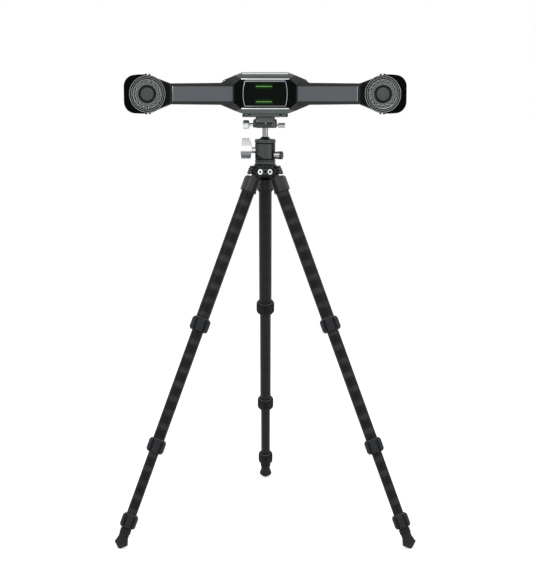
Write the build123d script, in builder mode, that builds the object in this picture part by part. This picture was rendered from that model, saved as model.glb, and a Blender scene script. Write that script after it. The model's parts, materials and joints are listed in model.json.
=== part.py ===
from build123d import *
import os
from math import cos, radians, sin, sqrt, tan

os.makedirs("parts", exist_ok=True)

# Clearances
fit_gap = 0.05          # radial gap of a turning or sliding fit
body_gap = 0.3          # gap between pieces that move past each other

# Tripod legs, measured from the pivot down the leg
leg_angle = 22.9        # between a leg on its first stop and the vertical
pivot_radius = 27.7     # from the tripod's axis to a leg's pivot
tube_radii = (16.2, 14.3, 12.4, 10.5)
tube_wall = 1.5
socket_floor = 22.0     # where the upper tube starts inside the leg head
upper_reach = 398.9     # pivot to the middle of the first twist collar
middle_extension = 311.7
lower_extension = 191.3
inner_tube_length = 369.0
last_tube_length = 366.0
bush_length = 30.0
thread_length = 16.0
thread_height = 1.6
tube_end_in_collar = 3.0

# Twist collars
collar_length = 34.0
collar_height = 7.3     # how far a collar stands out of its tube
collar_shoulder = 3.4
collar_round = 7.0
flute_count = 6
flute_width = 4.5
flute_depth = 1.4

# Feet
foot_offset = 61.4      # middle of the last collar to the centre of the foot's round tip
foot_tip_radius = 8.0
foot_tip_slope = 43.0   # degrees between the tip's side and a plane across the leg
foot_neck_radius = 12.2
foot_flare_length = 15.0
foot_flare_radius = 16.6
foot_flare_rim = 1.2
foot_ridge_radius = 13.8
foot_ridge_height = 3.0
foot_ridges = (2.5, 8.5)
foot_flat = 0.4         # rubber flattened on the floor
foot_gap = 1.5
foot_socket = 20.0

# Leg heads and stop tabs
tongue_width = 30.0
tongue_radius = 10.4
socket_radius = 18.9
socket_top = 18.0
socket_length = 35.0
socket_lip = 0.9
socket_lip_length = 5.0
head_rib_radius = 1.7
head_rib_spread = 70.0  # degrees between the two ribs
pivot_bolt_radius = 4.0
tab_width = 18.0
tab_top = 11.0
tab_inner = 5.8
tab_outer = 22.0
edge_break = 0.8        # small chamfer on machined edges
tab_chamfer = 1.2

# Crown
ear_thickness = 6.0
ear_radius = 11.5
ear_start = 6.0         # ears grow out of the hub this far from the tripod's axis
hub_radius = 13.5
hub_depth = 8.5         # hub below the pivots
crown_rise = 13.5       # crown's top above the pivots
crown_plate_radius = 27.2
crown_plate_height = 2.6
shoulder_inner = 10.9
shoulder_outer = 21.0
rib_depth = 1.6
rib_pitch = 16.0        # degrees about the pivot
bolt_head_radius = 6.75
bolt_head_height = 2.6
top_plate_height = 4.5
stud_radius = 4.7625
stud_depth = 9.5
stud_end_gap = 1.0
accessory_thread_radius = 3.175
accessory_thread_depth = 9.0

# Ball head
pan_base_radius = 25.0
pan_base_height = 5.6
spigot_radius = 12.0
spigot_height = 6.0
housing_radius = 25.8
housing_height = 54.7
collar_ring_height = 9.2
groove_depth = 2.2
groove_height = 2.4
base_ring_height = 3.4
base_ring_inset = 0.2
base_groove_depth = 1.2
rim_round = 3.0
rim_mouth_depth = 2.6
rim_mouth_flare = 3.6
skin_depth = 0.9        # the round body lies this far inside its raised shield
shield_left = 23.5
shield_right = 15.5
shield_bottom = 7.5
shield_corner = 19.0    # height where the shield's left edge turns in
shield_toe = 2.5        # left end of the shield's bottom edge
ball_radius = 18.0
ball_below_rim = 10.6   # ball's centre below the housing's rim
stem_radius = 7.35
stem_foot_radius = 7.75
stem_foot_height = 1.2
stem_foot_step = 1.0
clamp_above_ball = 37.9
stem_spigot_radius = 6.0
stem_spigot_height = 6.0

# Main lock knob and pan lock knob
main_knob_below_ball = 16.5
main_knob_shaft_radius = 7.5
main_knob_inner = 32.8  # distance from the tripod's axis
main_knob_outer = 60.7
main_knob_radius = 20.8
main_knob_wing = 30.2
wing_tip_radius = 9.0
wing_inner_slope = 6.7  # wing's tip stands this far outside the knob's inner face
wing_outer_slope = 4.2
grip_inner_slope = 3.4
grip_outer_slope = 2.2
grip_inner_drop = 4.0   # below the knob's axis, where its faces turn in
grip_outer_drop = 2.0
knob_shaft_depth = 4.5
knurl_width = 1.8
knurl_depth = 0.8
knurl_pitch = 12.0      # degrees between grooves on the knob's lower half
knurl_count = 14
pan_knob_below_ball = 28.6
pan_knob_azimuth = 22.0 # towards the front from the right
pan_knob_radius = 10.0
pan_knob_shaft_radius = 4.0
pan_knob_inner = 26.4
pan_knob_outer = 44.6
pan_knob_step = 1.0     # smooth inner part narrower than the grip
pan_knob_grip_start = 8.0
pan_knob_grooves = 12

# Clamp
clamp_depth = 50.0
clamp_floor = 13.4      # height of the clamp's floor above its underside
clamp_right = 28.6
jaw_split = 21.8        # jaw's inner face, left of the middle
jaw_left = 29.4
jaw_height = 21.0
dovetail_half_width = 21.0
dovetail_neck = 17.0
dovetail_height = 7.6
dovetail_foot = 2.2
clamp_chamfer = 3.0
jaw_chamfer = 1.5
lip_chamfer = 2.2
lip_side = 3.5
jaw_rise = 1.0          # jaw's underside above the clamp's
clamp_knob_height = 7.6
clamp_knob_radius = 11.1
clamp_knob_inner = 39.0
clamp_knob_outer = 54.5
clamp_screw_radius = 4.2
clamp_screw_end = 4.0
side_knob_radius = 5.9
side_knob_height = 5.8
side_knob_inner = 31.6
side_knob_outer = 48.9
side_knob_shaft_radius = 2.5
side_knob_shaft_start = 9.0   # from the tripod's axis
side_knob_grooves = 10
small_knob_groove = 0.6
small_knob_groove_width = 1.2
clamp_screw_start = 8.0
clamp_knob_chamfer = 1.6
screw_end_gap = 1.0

# Tracker base plate
plate_boss_half_width = 23.5
plate_boss_height = 4.9
plate_length = 110.0
plate_depth = 70.0
plate_height = 9.0
plate_slot_spacing = 75.0
plate_slot_length = 7.0
plate_slot_width = 2.2
plate_slot_depth = 4.0
plate_slot_drop = 2.4
plate_corner = 5.0

# Tracker bar
bar_height = 99.2
bar_front = 50.0        # front of the centre module before the tripod's axis
bar_split = 14.0        # seam between front housing and rear cover behind the axis
bar_back = 45.0
face_half_width = 57.5
face_half_height = 36.4
front_lift = 10.5       # lower edge of the front face above the bar's underside
hexagon_depth = 44.5    # from the front face back to the full outline
top_half_width = 56.0
wing_half_width = 98.3
wing_drop = 17.7
back_chamfer = 12.0
waist_half_width = 108.0
underside_margin = 1.0  # module's underside wider than its front face, to each side
crease_corner = 3.4     # cut corners start this far below the face's corner
crease_spread = 8.0     # and end this far above the arm
arm_height = 53.6
arm_front = 35.0
arm_back = 25.0
arm_chamfer = 9.8
arm_front_slope = 1.2
panel_half_height = 18.9
panel_thickness = 1.6
panel_inner = 76.2
panel_outer = 223.0
arm_end = 230.0
arm_taper = 1.6
panel_inset = 2.4
panel_margin = 1.0      # panel's edge inside the arm's front face
arm_overlap = 6.0       # arm's loft starts this far inside the panel's inner end
rail_height = 2.4
rail_depth = 3.0
rail_proud = 0.4
cover_thickness = 2.0
cover_overhang = 4.0
window_half_width = 48.8
window_half_height = 31.3
window_bow = 6.2
window_thickness = 2.5
frame_width = 1.2
frame_proud = 0.3
window_sunk = 0.4

# Camera pods
lens_half_span = 283.3  # half the distance between the two lenses
pod_front = 48.0
pod_toe_in = 15.0
pod_drop = 0.5          # pods' axes below the middle of the bar
pod_radius = 45.4
pod_depth = 78.0
pod_back_round = 7.0
pod_rim_chamfer = 1.5
pod_recess_radius = 40.0
pod_recess_depth = 6.0
neck_half_height = 38.0
neck_end = 262.0
neck_depth = 60.0
neck_corner = 12.0
neck_shift = -10.0     # neck's far end lies this far in front of the axis
band_thickness = 1.3
band_depth = 64.0
band_corner = 28.0
band_lip = 1.6
band_front = 3.0
band_lip_length = 12.0
bezel_radius = 37.2
bezel_height = 5.0
bezel_lip = 1.8         # bright lip outside the lamp ring
bezel_sunk = 1.6        # lamp ring below the lip
lamp_ring_radius = 30.4
lamp_count = 16
lamp_radius = 2.3
lamp_well_depth = 2.0
lens_radius = 21.9
lens_glass_radius = 17.5
glass_crown = 3.6       # glass height at its middle, above the pod's recess
glass_edge = 2.2
rim_height = 5.4
rim_slope = 1.2
rim_crest = 0.5

# Rear sockets
socket_bore_radius = 6.0
socket_bore_depth = 9.0
connector_spacing = 34.0
connector_plate_length = 74.0
connector_plate_height = 30.0
connector_plate_thickness = 2.0
socket_shell_radius = 8.5
socket_proud = 3.0

# Positions that follow from the sizes
lock_1 = upper_reach
lock_2 = lock_1 + middle_extension
lock_3 = lock_2 + lower_extension
locks = (lock_1, lock_2, lock_3)
foot_centre = lock_3 + foot_offset
foot_top = lock_3 + collar_length / 2 + foot_gap
pivot_height = foot_centre * cos(radians(leg_angle)) + foot_tip_radius - foot_flat
foot_reach = pivot_radius + foot_centre * sin(radians(leg_angle))
tip_edge_radius = foot_tip_radius * sin(radians(foot_tip_slope))
tip_edge = foot_centre + foot_tip_radius * cos(radians(foot_tip_slope))
foot_rim = tip_edge - (foot_flare_radius - tip_edge_radius) * tan(radians(foot_tip_slope))
rim_reach = pivot_radius + foot_rim * sin(radians(leg_angle))
rear_edge = rim_reach + foot_flare_radius * cos(radians(leg_angle))
front_edge = rim_reach / 2 + foot_flare_radius * sqrt(1 - (sin(radians(leg_angle)) / 2) ** 2)
axis_y = (front_edge - rear_edge) / 2     # feet reach as far to the front as to the rear
crown_top = pivot_height + crown_rise
plate_top = crown_top + top_plate_height
housing_bottom = plate_top + pan_base_height + body_gap
housing_top = housing_bottom + housing_height
ball_height = housing_top - ball_below_rim
clamp_bottom = ball_height + clamp_above_ball
clamp_floor_height = clamp_bottom + clamp_floor
dovetail_bottom = clamp_floor_height + body_gap
boss_bottom = dovetail_bottom + dovetail_height
plate_bottom = boss_bottom + plate_boss_height
bar_bottom = plate_bottom + plate_height
bar_top = bar_bottom + bar_height
bar_middle = bar_bottom + face_half_height + front_lift
pod_middle = bar_middle - pod_drop

legs = {"left": -60, "right": 60, "rear": 180}
column = Plane((0, axis_y, 0))
front = Plane((0, axis_y, 0), x_dir=(1, 0, 0), z_dir=(0, -1, 0))
column_axis = Axis((0, axis_y, 0), (0, 0, 1))


def save(piece, name):
    piece.part.label = name
    export_step(piece.part, f"parts/{name}.step")


def outward(azimuth):
    """Level direction from the tripod's axis, turned from the front."""
    return Vector(sin(radians(azimuth)), -cos(radians(azimuth)), 0)


def side_plane(azimuth):
    """Upright plane through the axis and a leg's pivot: x outwards, y up."""
    level = outward(azimuth)
    return Plane((0, axis_y, pivot_height), x_dir=level, z_dir=level.cross(Vector(0, 0, 1)))


def leg_plane(azimuth):
    """Plane across a leg at its pivot: x along the hinge, y outwards, z down the leg."""
    level = outward(azimuth)
    down = level * sin(radians(leg_angle)) - Vector(0, 0, cos(radians(leg_angle)))
    pivot = Vector(0, axis_y, pivot_height) + level * pivot_radius
    return Plane(pivot, x_dir=Vector(0, 0, 1).cross(level), z_dir=down)


def leg_section(leg):
    """Plane along a leg: x is the distance from its axis, y the distance down it."""
    return Plane(leg.origin, x_dir=leg.y_dir, z_dir=leg.x_dir)


def radial_section(height):
    """Upright plane through the column: x is the radius, y the height above the one given."""
    return Plane((0, axis_y, height), x_dir=(1, 0, 0), z_dir=(0, -1, 0))


def turned(section, points, axis):
    """A piece turned from the closed outline of points."""
    with BuildPart() as piece:
        with BuildSketch(section):
            with BuildLine():
                Polyline(*points, close=True)
            make_face()
        revolve(axis=axis)
    return piece


def make_tube(leg, number, start, end, threaded):
    """One leg tube with the bush at its top and the thread at its lower end."""
    radius = tube_radii[number]
    inner = radius - tube_wall
    points = [(inner, start)]
    if number:
        bush = tube_radii[number - 1] - tube_wall - fit_gap
        points += [(bush, start), (bush, start + bush_length), (radius, start + bush_length)]
    else:
        points += [(radius, start)]
    if threaded:
        thread = radius + thread_height
        points += [(radius, end - thread_length), (thread, end - thread_length), (thread, end)]
    else:
        points += [(radius, end)]
    points += [(inner, end)]
    return turned(leg_section(leg), points, Axis(leg.origin, leg.z_dir))


def make_collar(leg, number):
    """A twist collar: barrel with a thread chamber, a lower lip on the next tube and grip flutes."""
    radius = tube_radii[number]
    at = locks[number]
    top = at - collar_length / 2
    bottom = at + collar_length / 2
    outer = radius + collar_height
    shoulder = radius + collar_shoulder
    chamber = radius + thread_height + fit_gap
    chamber_top = at + tube_end_in_collar - thread_length - body_gap
    chamber_bottom = at + tube_end_in_collar + body_gap
    upper_bore = radius + body_gap
    lower_bore = tube_radii[number + 1] + body_gap
    with BuildPart() as collar:
        with BuildSketch(leg_section(leg)):
            with BuildLine():
                Polyline((shoulder, bottom), (lower_bore, bottom), (lower_bore, chamber_bottom),
                         (chamber, chamber_bottom), (chamber, chamber_top),
                         (upper_bore, chamber_top), (upper_bore, top), (shoulder, top))
                TangentArc((outer, top + collar_round), (shoulder, top), tangent=(0, -1))
                Line((outer, top + collar_round), (outer, bottom - collar_round))
                TangentArc((outer, bottom - collar_round), (shoulder, bottom), tangent=(0, 1))
            make_face()
        revolve(axis=Axis(leg.origin, leg.z_dir))
        with BuildSketch(leg.offset(top + collar_round)):
            with PolarLocations(outer, flute_count):
                Rectangle(2 * flute_depth, flute_width)
        extrude(amount=collar_length - 2 * collar_round, mode=Mode.SUBTRACT)
    return collar


def make_foot(leg):
    """Rubber foot: ridged neck on the last tube, a flare, and a blunt tip that the floor flattens."""
    section = leg_section(leg)
    tube = tube_radii[3]
    slope = radians(foot_tip_slope)
    rim_top = foot_rim - foot_flare_rim
    with BuildPart() as foot:
        with BuildSketch(section):
            with BuildLine():
                Polyline((0, foot_centre + foot_tip_radius), (0, foot_top + foot_socket),
                         (tube, foot_top + foot_socket), (tube, foot_top), (foot_neck_radius, foot_top),
                         (foot_neck_radius, rim_top - foot_flare_length), (foot_flare_radius, rim_top),
                         (foot_flare_radius, foot_rim), (tip_edge_radius, tip_edge))
                TangentArc((tip_edge_radius, tip_edge), (0, foot_centre + foot_tip_radius),
                           tangent=(-cos(slope), sin(slope)))
            make_face()
        revolve(axis=Axis(leg.origin, leg.z_dir))
        for ridge in foot_ridges:
            with BuildSketch(leg.offset(foot_top + ridge)):
                Circle(foot_ridge_radius)
                Circle(foot_neck_radius, mode=Mode.SUBTRACT)
            extrude(amount=foot_ridge_height)
        split(bisect_by=Plane.XY, keep=Keep.TOP)
    return foot


def make_leg_head(leg):
    """Cast leg head: round tongue on the pivot, cheeks beside the stop tab, socket on the upper tube."""
    section = leg_section(leg)
    with BuildPart() as head:
        with BuildSketch(section):
            Circle(tongue_radius)
            with Locations((-tongue_radius, 0)):
                Rectangle(tongue_radius + tab_inner - body_gap, socket_top, align=(Align.MIN, Align.MIN))
            with Locations((-tongue_radius, tab_top)):
                Rectangle(2 * tongue_radius, socket_top - tab_top, align=(Align.MIN, Align.MIN))
        extrude(amount=tongue_width / 2, both=True)
        with BuildSketch(leg.offset(socket_top)):
            Circle(socket_radius)
        extrude(amount=socket_length)
        with BuildSketch(leg.offset(socket_top + socket_length - socket_lip_length)):
            Circle(socket_radius + socket_lip)
        extrude(amount=socket_lip_length)
        with BuildSketch(leg.offset(socket_top + head_rib_radius)):
            with PolarLocations(socket_radius, 2, 90 - head_rib_spread / 2, 2 * head_rib_spread):
                Circle(head_rib_radius)
        extrude(amount=socket_length - head_rib_radius)
        with BuildSketch(leg.offset(socket_floor)):
            Circle(tube_radii[0])
        extrude(amount=socket_top + socket_length - socket_floor, mode=Mode.SUBTRACT)
        with BuildSketch(section):
            Circle(pivot_bolt_radius + fit_gap)
        extrude(amount=tongue_width, both=True, mode=Mode.SUBTRACT)
        with BuildSketch(section):
            with Locations((tab_inner - body_gap, tab_top - body_gap)):
                Rectangle(tab_outer, socket_top - tab_top + body_gap, align=(Align.MIN, Align.MIN))
        extrude(amount=tab_width / 2 + body_gap, both=True, mode=Mode.SUBTRACT)
    return head


def make_stop_tab(leg):
    """Bright tab that slides out of the leg head to free the leg."""
    with BuildPart() as tab:
        with BuildSketch(leg_section(leg)):
            with Locations((tab_inner, tab_top)):
                Rectangle(tab_outer - tab_inner, socket_top - body_gap - tab_top, align=(Align.MIN, Align.MIN))
        extrude(amount=tab_width / 2, both=True)
        outer_edges = tab.edges().filter_by(Axis(leg.origin, leg.x_dir)).sort_by(Axis(leg.origin, leg.y_dir))[-2:]
        chamfer(outer_edges, tab_chamfer)
    return tab


for side_name, azimuth in legs.items():
    leg = leg_plane(azimuth)
    save(make_leg_head(leg), f"{side_name}_leg_head")
    save(make_stop_tab(leg), f"{side_name}_stop_tab")
    spans = ((socket_floor, lock_1 + tube_end_in_collar, True),
             (lock_1 + tube_end_in_collar + middle_extension - inner_tube_length, lock_2 + tube_end_in_collar, True),
             (lock_2 + tube_end_in_collar + lower_extension - inner_tube_length, lock_3 + tube_end_in_collar, True),
             (foot_top + foot_socket - last_tube_length, foot_top + foot_socket, False))
    for number, (start, end, threaded) in enumerate(spans):
        save(make_tube(leg, number, start, end, threaded), f"{side_name}_tube_{number + 1}")
    for number in range(3):
        save(make_collar(leg, number), f"{side_name}_twist_collar_{number + 1}")
    save(make_foot(leg), f"{side_name}_foot")


# Crown with its hinge ears and stop shoulders
ear_inner = tongue_width / 2 + body_gap
ear_outer = ear_inner + ear_thickness
stop_face = tab_top - body_gap


def beside_leg(out, down):
    """Point in a crown side plane, given out from the leg's axis and down the leg."""
    angle = radians(leg_angle)
    return (out * cos(angle) + down * sin(angle), out * sin(angle) - down * cos(angle))


def shoulder_profile(inner):
    """Arc about a pivot from the crown's top round to the face that the stop tab meets."""
    with Locations((pivot_radius, 0)):
        Circle(shoulder_outer)
        if inner:
            Circle(inner, mode=Mode.SUBTRACT)
        Rectangle(4 * shoulder_outer, 4 * shoulder_outer, align=(Align.MAX, Align.CENTER), mode=Mode.SUBTRACT)
        with Locations(beside_leg(0, stop_face + shoulder_outer)):
            Rectangle(4 * shoulder_outer, 2 * shoulder_outer, rotation=leg_angle, mode=Mode.SUBTRACT)
        with Locations(beside_leg(tab_inner - shoulder_outer, shoulder_outer)):
            Rectangle(2 * shoulder_outer, 2 * shoulder_outer, rotation=leg_angle, mode=Mode.SUBTRACT)


def above_crown():
    with Locations((0, crown_rise)):
        Rectangle(4 * shoulder_outer, shoulder_outer, align=(Align.MIN, Align.MIN), mode=Mode.SUBTRACT)


with BuildPart() as crown:
    with BuildSketch(column.offset(pivot_height - hub_depth)):
        Circle(hub_radius)
    extrude(amount=hub_depth + crown_rise)
    with BuildSketch(column.offset(crown_top - crown_plate_height)):
        Circle(crown_plate_radius)
    extrude(amount=crown_plate_height)
    for azimuth in legs.values():
        side = side_plane(azimuth)
        for face in (ear_inner, -ear_outer):
            with BuildSketch(side.offset(face)):
                shoulder_profile(0)
                with Locations((pivot_radius, 0)):
                    Circle(ear_radius)
                with Locations((ear_start, -hub_depth)):
                    Rectangle(pivot_radius - ear_start, hub_depth + crown_rise, align=(Align.MIN, Align.MIN))
                above_crown()
            extrude(amount=ear_thickness)
        with BuildSketch(side):
            shoulder_profile(shoulder_inner)
            above_crown()
        extrude(amount=ear_outer, both=True)
        with BuildSketch(side):
            with Locations((pivot_radius, 0)):
                with PolarLocations(shoulder_outer + rib_depth / 2, 3, rib_pitch / 4, 3 * rib_pitch):
                    Circle(rib_depth)
        extrude(amount=2 * ear_outer, both=True, mode=Mode.SUBTRACT)
    for azimuth in legs.values():
        with BuildSketch(side_plane(azimuth)):
            with Locations((pivot_radius, 0)):
                Circle(pivot_bolt_radius)
        extrude(amount=2 * ear_outer, both=True, mode=Mode.SUBTRACT)
    with BuildSketch(column.offset(crown_top)):
        Circle(stud_radius + fit_gap)
    extrude(amount=-stud_depth, mode=Mode.SUBTRACT)
    with BuildSketch(column.offset(pivot_height - hub_depth)):
        Circle(accessory_thread_radius)
    extrude(amount=accessory_thread_depth, mode=Mode.SUBTRACT)
save(crown, "crown")

with BuildPart() as top_plate:
    with BuildSketch(column.offset(crown_top)):
        Circle(crown_plate_radius)
        Circle(stud_radius + fit_gap, mode=Mode.SUBTRACT)
    extrude(amount=top_plate_height)
    chamfer(top_plate.edges().filter_by(GeomType.CIRCLE).sort_by(SortBy.RADIUS)[-2:], edge_break)
save(top_plate, "top_plate")

# Three pivot bolts with their heads, and the head stud
with BuildPart() as crown_bolts:
    for azimuth in legs.values():
        with BuildSketch(side_plane(azimuth)):
            with Locations((pivot_radius, 0)):
                Circle(pivot_bolt_radius)
        extrude(amount=ear_outer, both=True)
        for end in (1, -1):
            with BuildSketch(side_plane(azimuth).offset(end * ear_outer)):
                with Locations((pivot_radius, 0)):
                    Circle(bolt_head_radius)
            extrude(amount=end * bolt_head_height)
    with BuildSketch(column.offset(crown_top - stud_depth + stud_end_gap)):
        Circle(stud_radius)
    extrude(amount=stud_depth + top_plate_height + pan_base_height - 2 * stud_end_gap)
save(crown_bolts, "crown_bolts")

# Ball head
with BuildPart() as pan_base:
    with BuildSketch(column.offset(plate_top)):
        Circle(pan_base_radius)
    extrude(amount=pan_base_height)
    chamfer(pan_base.edges().sort_by(Axis.Z)[0], edge_break)
    with BuildSketch(column.offset(plate_top + pan_base_height)):
        Circle(spigot_radius)
    extrude(amount=spigot_height)
    with BuildSketch(column.offset(plate_top)):
        Circle(stud_radius + fit_gap)
    extrude(amount=pan_base_height, mode=Mode.SUBTRACT)
save(pan_base, "pan_base")

groove_top = housing_height - collar_ring_height
seat_radius = ball_radius + body_gap
seat_mouth = sqrt(seat_radius ** 2 - (ball_below_rim - rim_mouth_depth) ** 2)
body_radius = housing_radius - skin_depth
body_start = base_ring_height + 2 * base_groove_depth

# Raised shield on the front of the housing, its lower left corner cut off
with BuildPart() as shield:
    with BuildSketch(column.offset(housing_bottom)):
        Circle(housing_radius)
        Circle(body_radius - skin_depth, mode=Mode.SUBTRACT)
    extrude(amount=groove_top)
    with BuildSketch(front):
        with BuildLine():
            Polyline(*[(x, housing_bottom + z) for x, z in (
                (-shield_toe, shield_bottom), (shield_right, shield_bottom),
                (shield_right, groove_top - groove_height), (-shield_left, groove_top - groove_height),
                (-shield_left, shield_corner))], close=True)
        make_face()
    extrude(amount=2 * housing_radius, mode=Mode.INTERSECT)

with BuildPart() as housing:
    with BuildSketch(radial_section(housing_bottom)):
        with BuildLine():
            Polyline((0, housing_height), (0, spigot_height + body_gap),
                     (spigot_radius + fit_gap, spigot_height + body_gap), (spigot_radius + fit_gap, 0),
                     (housing_radius - base_ring_inset - base_groove_depth, 0),
                     (housing_radius - base_ring_inset, base_groove_depth),
                     (housing_radius - base_ring_inset, base_ring_height),
                     (body_radius - base_groove_depth, base_ring_height + base_groove_depth),
                     (body_radius, body_start), (body_radius, groove_top - groove_height),
                     (housing_radius - groove_depth, groove_top - groove_height / 2),
                     (housing_radius - base_ring_inset, groove_top),
                     (housing_radius, groove_top + base_groove_depth), (housing_radius, housing_height - rim_round))
            TangentArc((housing_radius, housing_height - rim_round), (housing_radius - rim_round, housing_height),
                       tangent=(0, 1))
            Line((housing_radius - rim_round, housing_height), (0, housing_height))
        make_face()
    revolve(axis=column_axis)
    add(shield.part)
    with BuildSketch(radial_section(ball_height)):
        with BuildLine():
            CenterArc((0, 0), seat_radius, -90, 180)
            Line((0, seat_radius), (0, -seat_radius))
        make_face()
    revolve(axis=column_axis, mode=Mode.SUBTRACT)
    with BuildSketch(radial_section(housing_top)):
        with BuildLine():
            Polyline((0, rim_mouth_flare - rim_mouth_depth), (0, -rim_mouth_depth), (seat_mouth, -rim_mouth_depth),
                     (seat_mouth + rim_mouth_flare, rim_mouth_flare - rim_mouth_depth), close=True)
        make_face()
    revolve(axis=column_axis, mode=Mode.SUBTRACT)
knob_axis_height = ball_height - main_knob_below_ball
pan_knob_height = ball_height - pan_knob_below_ball
left_side = Plane((0, axis_y, 0), x_dir=(0, -1, 0), z_dir=(-1, 0, 0))
right_side = Plane((0, axis_y, 0), x_dir=(0, 1, 0), z_dir=(1, 0, 0))
pan_level = Vector(cos(radians(pan_knob_azimuth)), -sin(radians(pan_knob_azimuth)), 0)
pan_side = Plane((0, axis_y, pan_knob_height), x_dir=Vector(0, 0, 1).cross(pan_level), z_dir=pan_level)
with housing:
    with BuildSketch(left_side.offset(housing_radius - knob_shaft_depth)):
        with Locations((0, knob_axis_height)):
            Circle(main_knob_shaft_radius + fit_gap)
    extrude(amount=2 * knob_shaft_depth, mode=Mode.SUBTRACT)
    with BuildSketch(pan_side.offset(housing_radius - 2 * knob_shaft_depth)):
        Circle(pan_knob_shaft_radius + fit_gap)
    extrude(amount=3 * knob_shaft_depth, mode=Mode.SUBTRACT)
save(housing, "head_housing")

# Main lock knob: shaft, round grip and a taller wing that thins towards its tip
with BuildPart() as main_knob:
    with BuildSketch(left_side.offset(main_knob_inner)):
        with Locations((0, knob_axis_height)):
            Circle(main_knob_radius)
            with Locations((0, main_knob_wing - wing_tip_radius)):
                Circle(wing_tip_radius)
        make_hull()
        with Locations((0, knob_axis_height)):
            with PolarLocations(main_knob_radius, knurl_count, 270 - knurl_pitch * (knurl_count - 1) / 2,
                                knurl_count * knurl_pitch):
                Rectangle(2 * knurl_depth, knurl_width, mode=Mode.SUBTRACT)
    extrude(amount=main_knob_outer - main_knob_inner)
    with BuildSketch(Plane.XZ.offset(-axis_y)):
        with BuildLine():
            Polyline(*[(x, knob_axis_height + y) for x, y in (
                (-main_knob_inner - wing_inner_slope, main_knob_wing),
                (wing_outer_slope - main_knob_outer, main_knob_wing), (-main_knob_outer, -grip_outer_drop),
                (grip_outer_slope - main_knob_outer, -main_knob_radius),
                (-main_knob_inner - grip_inner_slope, -main_knob_radius), (-main_knob_inner, -grip_inner_drop),
                (-main_knob_inner, main_knob_wing / 2))], close=True)
        make_face()
    extrude(amount=2 * main_knob_radius, both=True, mode=Mode.INTERSECT)
    with BuildSketch(left_side.offset(housing_radius - knob_shaft_depth + body_gap)):
        with Locations((0, knob_axis_height)):
            Circle(main_knob_shaft_radius)
    extrude(amount=main_knob_inner - housing_radius + knob_shaft_depth - body_gap)
save(main_knob, "main_lock_knob")

with BuildPart() as pan_knob:
    with BuildSketch(pan_side.offset(pan_knob_inner)):
        Circle(pan_knob_radius - pan_knob_step)
    extrude(amount=pan_knob_outer - pan_knob_inner)
    with BuildSketch(pan_side.offset(pan_knob_inner + pan_knob_grip_start)):
        Circle(pan_knob_radius)
        with PolarLocations(pan_knob_radius, pan_knob_grooves):
            Rectangle(2 * small_knob_groove, small_knob_groove_width, mode=Mode.SUBTRACT)
    extrude(amount=pan_knob_outer - pan_knob_inner - pan_knob_grip_start)
    with BuildSketch(pan_side.offset(housing_radius - 2 * knob_shaft_depth + body_gap)):
        Circle(pan_knob_shaft_radius)
    extrude(amount=pan_knob_inner - housing_radius + 2 * knob_shaft_depth)
save(pan_knob, "pan_lock_knob")

with BuildPart() as ball:
    with BuildSketch(radial_section(ball_height)):
        with BuildLine():
            CenterArc((0, 0), ball_radius, -90, 180)
            Line((0, ball_radius), (0, -ball_radius))
        make_face()
    revolve(axis=column_axis)
save(ball, "ball")

stem_seat = ball_radius + fit_gap
stem_seat_height = sqrt(stem_seat ** 2 - stem_foot_radius ** 2)
stem_foot_top = stem_seat_height + stem_foot_height
with BuildPart() as stem:
    with BuildSketch(radial_section(ball_height)):
        with BuildLine():
            TangentArc((0, stem_seat), (stem_foot_radius, stem_seat_height), tangent=(1, 0))
            Polyline((stem_foot_radius, stem_seat_height), (stem_foot_radius, stem_foot_top),
                     (stem_radius, stem_foot_top + stem_foot_step), (stem_radius, clamp_above_ball - body_gap),
                     (stem_spigot_radius, clamp_above_ball - body_gap),
                     (stem_spigot_radius, clamp_above_ball + stem_spigot_height),
                     (0, clamp_above_ball + stem_spigot_height), (0, stem_seat))
        make_face()
    revolve(axis=column_axis)
save(stem, "stem")

# Clamp with its sliding jaw, screwed by the left knob
clamp_screw_height = clamp_bottom + clamp_knob_height
side_knob_axis_height = clamp_bottom + side_knob_height
jaw_lip = dovetail_half_width - dovetail_neck
dovetail_shoulder = dovetail_bottom + dovetail_foot
lip_start = dovetail_shoulder + body_gap
clamp_top = boss_bottom - body_gap


def jaw_outline(sign, outer, inner, bottom):
    """Jaw seen from the front: an upright outside, and a lip that leans in over the dovetail."""
    Polyline(*[(sign * x, z) for x, z in (
        (inner, bottom), (outer, bottom), (outer, clamp_top - lip_side), (outer - lip_chamfer, clamp_top),
        (dovetail_neck + body_gap, clamp_top), (dovetail_neck + body_gap, lip_start + jaw_lip),
        (dovetail_half_width + body_gap, lip_start), (inner, lip_start))], close=True)


with BuildPart() as clamp_body:
    with BuildSketch(front.offset(-clamp_depth / 2)):
        with BuildLine():
            Polyline((-jaw_split, clamp_bottom + jaw_chamfer), (jaw_chamfer - jaw_split, clamp_bottom),
                     (clamp_right - clamp_chamfer, clamp_bottom), (clamp_right, clamp_bottom + clamp_chamfer),
                     (clamp_right, clamp_floor_height), (-jaw_split, clamp_floor_height), close=True)
        make_face()
        with BuildLine():
            jaw_outline(1, clamp_right, jaw_split, clamp_floor_height)
        make_face()
    extrude(amount=clamp_depth)
    with BuildSketch(column.offset(clamp_bottom)):
        Circle(stem_spigot_radius + fit_gap)
    extrude(amount=stem_spigot_height + body_gap, mode=Mode.SUBTRACT)
    with BuildSketch(left_side.offset(jaw_split)):
        with Locations((0, clamp_screw_height)):
            Circle(clamp_screw_radius + fit_gap)
    extrude(amount=-(jaw_split - clamp_screw_end), mode=Mode.SUBTRACT)
    with BuildSketch(right_side.offset(clamp_right)):
        with Locations((0, side_knob_axis_height)):
            Circle(side_knob_shaft_radius + fit_gap)
    extrude(amount=side_knob_shaft_start - screw_end_gap - clamp_right, mode=Mode.SUBTRACT)
save(clamp_body, "clamp_body")

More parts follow.
